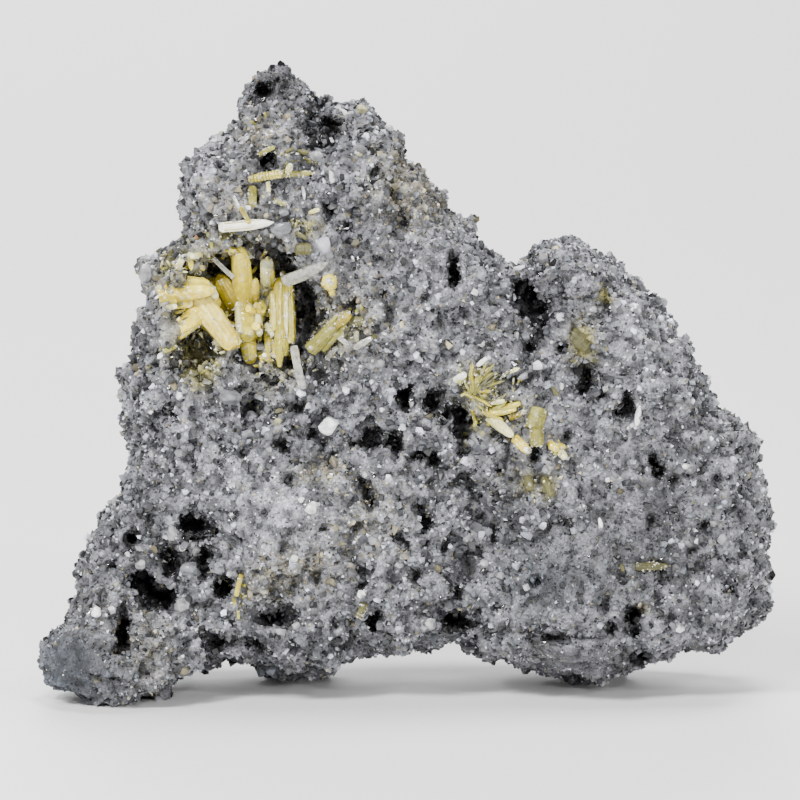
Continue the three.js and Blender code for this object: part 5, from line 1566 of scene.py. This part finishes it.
# %% Cut the landmark grains
BALL_RINGS, BALL_COUNT, CUTS = 7, 12, 13
CUT_DEPTH, LEAST_CUT, FACE_TONE = (0.7, 0.25), 0.85, 0.14
GRIT, GRIT_TONE = 0.35, 0.8  # width of a light or dark spot on such a grain, and its strength
DEEPNESS = 0.7  # from front to back, as a share of the mean of the other two
OUT, OUT_SHARE = 0.08, 0.25  # how far the middle stands out of the skin
LANDMARK_GLOSS, LANDMARK_WHITEST = 0.3, 0.95


def cut_ball(ball, luck):
    """Reach of a ball's points after flat cuts, and a tone for each cut face."""
    ways = unit(luck.normal(size=(CUTS, 3)))
    nearness = ball @ ways.T / by_luck(*CUT_DEPTH, luck, CUTS)
    tones = 1 + FACE_TONE * luck.normal(size=CUTS)
    reach = 1 / np.maximum(nearness.max(axis=1), LEAST_CUT)
    return reach[:, None], tones[nearness.argmax(axis=1)][:, None]


def ball_points():
    """Points of a ball in rings, and then its two poles."""
    polar = math.pi * np.arange(1, BALL_RINGS + 1) / (BALL_RINGS + 1)
    turns = 2 * math.pi * np.arange(BALL_COUNT) / BALL_COUNT
    x = np.outer(np.sin(polar), np.cos(turns))
    y = np.outer(np.sin(polar), np.sin(turns))
    z = np.outer(np.cos(polar), np.ones(BALL_COUNT))
    rings = np.stack([x, y, z], axis=2).reshape(-1, 3)
    return np.concatenate([rings, [[0, 0, 1], [0, 0, -1]]])


def ball_lumps(luck):
    """Points, faces, tints and map places of all landmark grains."""
    ball = ball_points()
    faces, corners = crystal_faces(BALL_COUNT, BALL_RINGS)
    faces, corners = faces[:, ::-1], corners[:, ::-1]
    cells = math.ceil(math.sqrt(len(LANDMARKS)))
    lists = [[] for _ in range(4)]
    for i, (x, h, half_width, half_height, turn, tone) in enumerate(LANDMARKS):
        spot = np.array(over_front(x, h, OUT + OUT_SHARE * min(half_width, half_height)))
        angle = math.radians(turn)
        right = np.array([math.cos(angle), 0, math.sin(angle)])
        up = np.cross(right, np.array(SIGHT_LINE))
        deep = DEEPNESS * (half_width + half_height) / 2
        reach, face_tone = cut_ball(ball, luck)
        form = ball * reach
        points = spot + form[:, :1] * right * half_width + form[:, 2:] * up * half_height
        points = points + form[:, 1:2] * np.array(SIGHT_LINE) * deep
        grit = np.array([noise.noise(Vector(p) / GRIT) for p in points])
        colour = np.array(LANDMARK_TONES[tone]) * face_tone * (1 + GRIT_TONE * grit[:, None])
        colour = colour.clip(0, LANDMARK_WHITEST)
        values = points, faces + i * len(ball), colour, in_cell(corners, i, cells)
        for kept, value in zip(lists, values):
            kept.append(value)
    return [np.concatenate(kept) for kept in lists]


landmark_arrays = ball_lumps(np.random.default_rng(21))
print("points of the landmark grains:", len(landmark_arrays[0]))

# %% [markdown]
# Fine quartz also settled on the large crystals, as sugar does on a wet spoon. Its grains
# stand on points of the crystals' own surfaces.

# %% Dust the crystals with quartz
DUST_SIZES = (0.05, 0.13)
DUST_SHARE, DRIFT, DRIFTED = 0.06, 0.9, 3  # share of points dusted, width of a drift, its strength
DUST_TONE, DUST_ROUGH, DUST_HUE = (0.45, 0.5), (0.05, 0.3), (1.0, 0.97, 0.8)


def dust(surfaces, share, luck):
    """Spots and ways of fine grains on the crystals' surfaces."""
    points = np.concatenate([surface[0] for surface in surfaces])
    ways = np.concatenate([surface[1] for surface in surfaces])
    drift = np.array([noise.noise(Vector(p) / DRIFT) for p in points])
    chosen = luck.random(len(points)) < share * np.clip(1 + DRIFTED * drift, 0, DRIFTED)
    chosen &= np.linalg.norm(ways, axis=1) > 0.5
    return points[chosen], unit(ways[chosen])


dust_spots, dust_ways = dust(surfaces + [lining_surface], DUST_SHARE, luck)
dust_count = len(dust_spots)
dust_sizes = DUST_SIZES[0] + (DUST_SIZES[1] - DUST_SIZES[0]) * luck.random(dust_count) ** 2
dust_grains = shape_sugar(dust_spots, dust_ways, dust_sizes, luck)
dust_colours = np.outer(by_luck(*DUST_TONE, luck, dust_count), DUST_HUE)
dust_rough = by_luck(*DUST_ROUGH, luck, dust_count)
print("dust grains:", dust_count)

# %% [markdown]
# A grain's foot stands in the shade of its neighbours and holds dust, so its lower ring is
# darker than its tip. The grains are dealt out to a few pieces of equal size.

# %% Make the pieces of grains
GRAINS_PER_PIECE = 13_000
FOOT_SHADE, RIM_SHADE, TIP_SHADE = 0.5, 0.95, 1.08
GRAIN_CLOUD, GRAIN_TINT = 0.2, (0.6, 0.8)  # width of a cloud in mm, and how it scales the tint


def grain_material():
    material, start, shader = new_material("quartz_grains")
    spot = start.node("ShaderNodeTexCoord", output=3)
    tint = start.node("ShaderNodeAttribute", {"attribute_name": "tint"})
    gloss = start.node("ShaderNodeAttribute", {"attribute_name": "gloss"}, output=2)
    cloud_inputs = {"Vector": spot, "Scale": 1 / (GRAIN_CLOUD * MM), "Detail": 2.0}
    cloud = start.node("ShaderNodeTexNoise", inputs=cloud_inputs)
    relief = {"Height": cloud, "Strength": 0.3, "Distance": 0.05 * MM}
    start.feed(shader.inputs["Base Color"], tint.scaled(GRAIN_TINT[0] + GRAIN_TINT[1] * cloud))
    start.feed(shader.inputs["Roughness"], gloss)
    start.feed(shader.inputs["Normal"], start.node("ShaderNodeBump", inputs=relief))
    shader.inputs["IOR"].default_value = 1.55
    return material


def grain_piece(name, points, net, layout, colours, roughness):
    """One piece of many grains that share a net and the layout of their cells in the map."""
    count, per_grain = points.shape[:2]
    faces = (net[None] + (np.arange(count) * per_grain)[:, None, None]).reshape(-1, 3)
    rings = [FOOT_SHADE] * RING + [RIM_SHADE] * (per_grain - RING - 1) + [TIP_SHADE]
    tint = (colours[:, None] * np.array(rings)[None, :, None]).reshape(-1, 3)
    cells = math.ceil(math.sqrt(count))
    column, row = np.arange(count) % cells, np.arange(count) // cells
    corner = np.stack([column, row], axis=1)[:, None, None, :]
    map_places = (layout[net][None] + corner) / cells
    gloss = np.repeat(roughness, per_grain)
    return make_piece(name, points.reshape(-1, 3), faces, tint, map_places, gloss)


def deal_out(name, points, net, layout, colours, roughness, luck):
    """Makes pieces of at most so many grains each, dealt at random."""
    order = luck.permutation(len(points))
    pieces = math.ceil(len(points) / GRAINS_PER_PIECE)
    for number, part in enumerate(np.array_split(order, pieces)):
        values = points[part], net, layout, colours[part], roughness[part]
        piece = grain_piece(f"{name}_{number}", *values)
        settle(piece, grain_finish, "rock")
        print(piece.name, "triangles:", len(piece.data.polygons))


grain_finish = grain_material()
deal_out("quartz_nuggets", nuggets, NUGGET_NET, NUGGET_MAP, nugget_colours, nugget_rough, luck)
deal_out("quartz_sugar", sugar, SUGAR_NET, SUGAR_MAP, sugar_colours, sugar_rough, luck)
deal_out("quartz_dust", dust_grains, SUGAR_NET, SUGAR_MAP, dust_colours, dust_rough, luck)
landmark_gloss = np.full(len(landmark_arrays[0]), LANDMARK_GLOSS)
landmarks = make_piece("landmark_grains", *landmark_arrays, gloss=landmark_gloss)
settle(landmarks, grain_finish, "rock")
print(landmarks.name, "triangles:", len(landmarks.data.polygons))

# %% [markdown]
# ## Floor and light
# A pale floor and four large soft lights: one high on the left that models the lumps, one
# low on the right that opens the shadows, one overhead and one for the back. Large lights
# leave no glints, so four weak but small ones stand in front, for the grains' faces to mirror.

# %% Make the floor, the lights and the world
FLOOR_REACH, FLOOR_COLOUR = 1.5, (0.78, 0.78, 0.77, 1)
WORLD_COLOUR, WORLD_STRENGTH = (0.82, 0.84, 0.86, 1), 0.3
SOFT_LIGHTS = {
    # place and width in metres, power in watts
    "key": ((-0.22, -0.30, 0.34), 0.12, 3.7),
    "fill": ((0.36, -0.34, 0.12), 0.16, 1.2),
    "top": ((0.05, 0.06, 0.42), 0.2, 2.2),
    "back": ((-0.05, 0.46, 0.2), 0.3, 1.8),
}
GLINT_SIZE, GLINT_POWER = 0.014, 0.7
GLINT_PLACES = [(0.05, -0.5, 0.2), (-0.3, -0.42, 0.1), (0.22, -0.4, 0.3), (-0.08, -0.36, 0.42)]

floor_mesh = bpy.data.meshes.new("floor")
square = [(-1, -1), (1, -1), (1, 1), (-1, 1)]
floor_corners = [(x * FLOOR_REACH, y * FLOOR_REACH, 0) for x, y in square]
floor_mesh.from_pydata(floor_corners, [], [(0, 1, 2, 3)])
floor = bpy.data.objects.new("floor", floor_mesh)
bpy.context.scene.collection.objects.link(floor)
floor_material, _, floor_shader = new_material("floor_paper")
floor_shader.inputs["Base Color"].default_value = FLOOR_COLOUR
floor_shader.inputs["Roughness"].default_value = 0.6
floor.data.materials.append(floor_material)


def soft_light(name, at, size, power):
    """A round light that looks at the middle of the view."""
    data = bpy.data.lights.new(name, "AREA")
    data.shape = "DISK"
    data.size = size
    data.energy = power
    light = bpy.data.objects.new(name, data)
    light.location = at
    light.rotation_euler = (aim * MM - Vector(at)).to_track_quat("-Z", "Y").to_euler()
    bpy.context.scene.collection.objects.link(light)


for name, (at, size, power) in SOFT_LIGHTS.items():
    soft_light(name, at, size, power)
for number, at in enumerate(GLINT_PLACES):
    soft_light(f"glint_{number}", at, GLINT_SIZE, GLINT_POWER)

world = bpy.data.worlds.new("studio")
world.use_nodes = True
background = world.node_tree.nodes["Background"]
background.inputs["Color"].default_value = WORLD_COLOUR
background.inputs["Strength"].default_value = WORLD_STRENGTH
bpy.context.scene.world = world
print("lights:", len(bpy.data.lights))
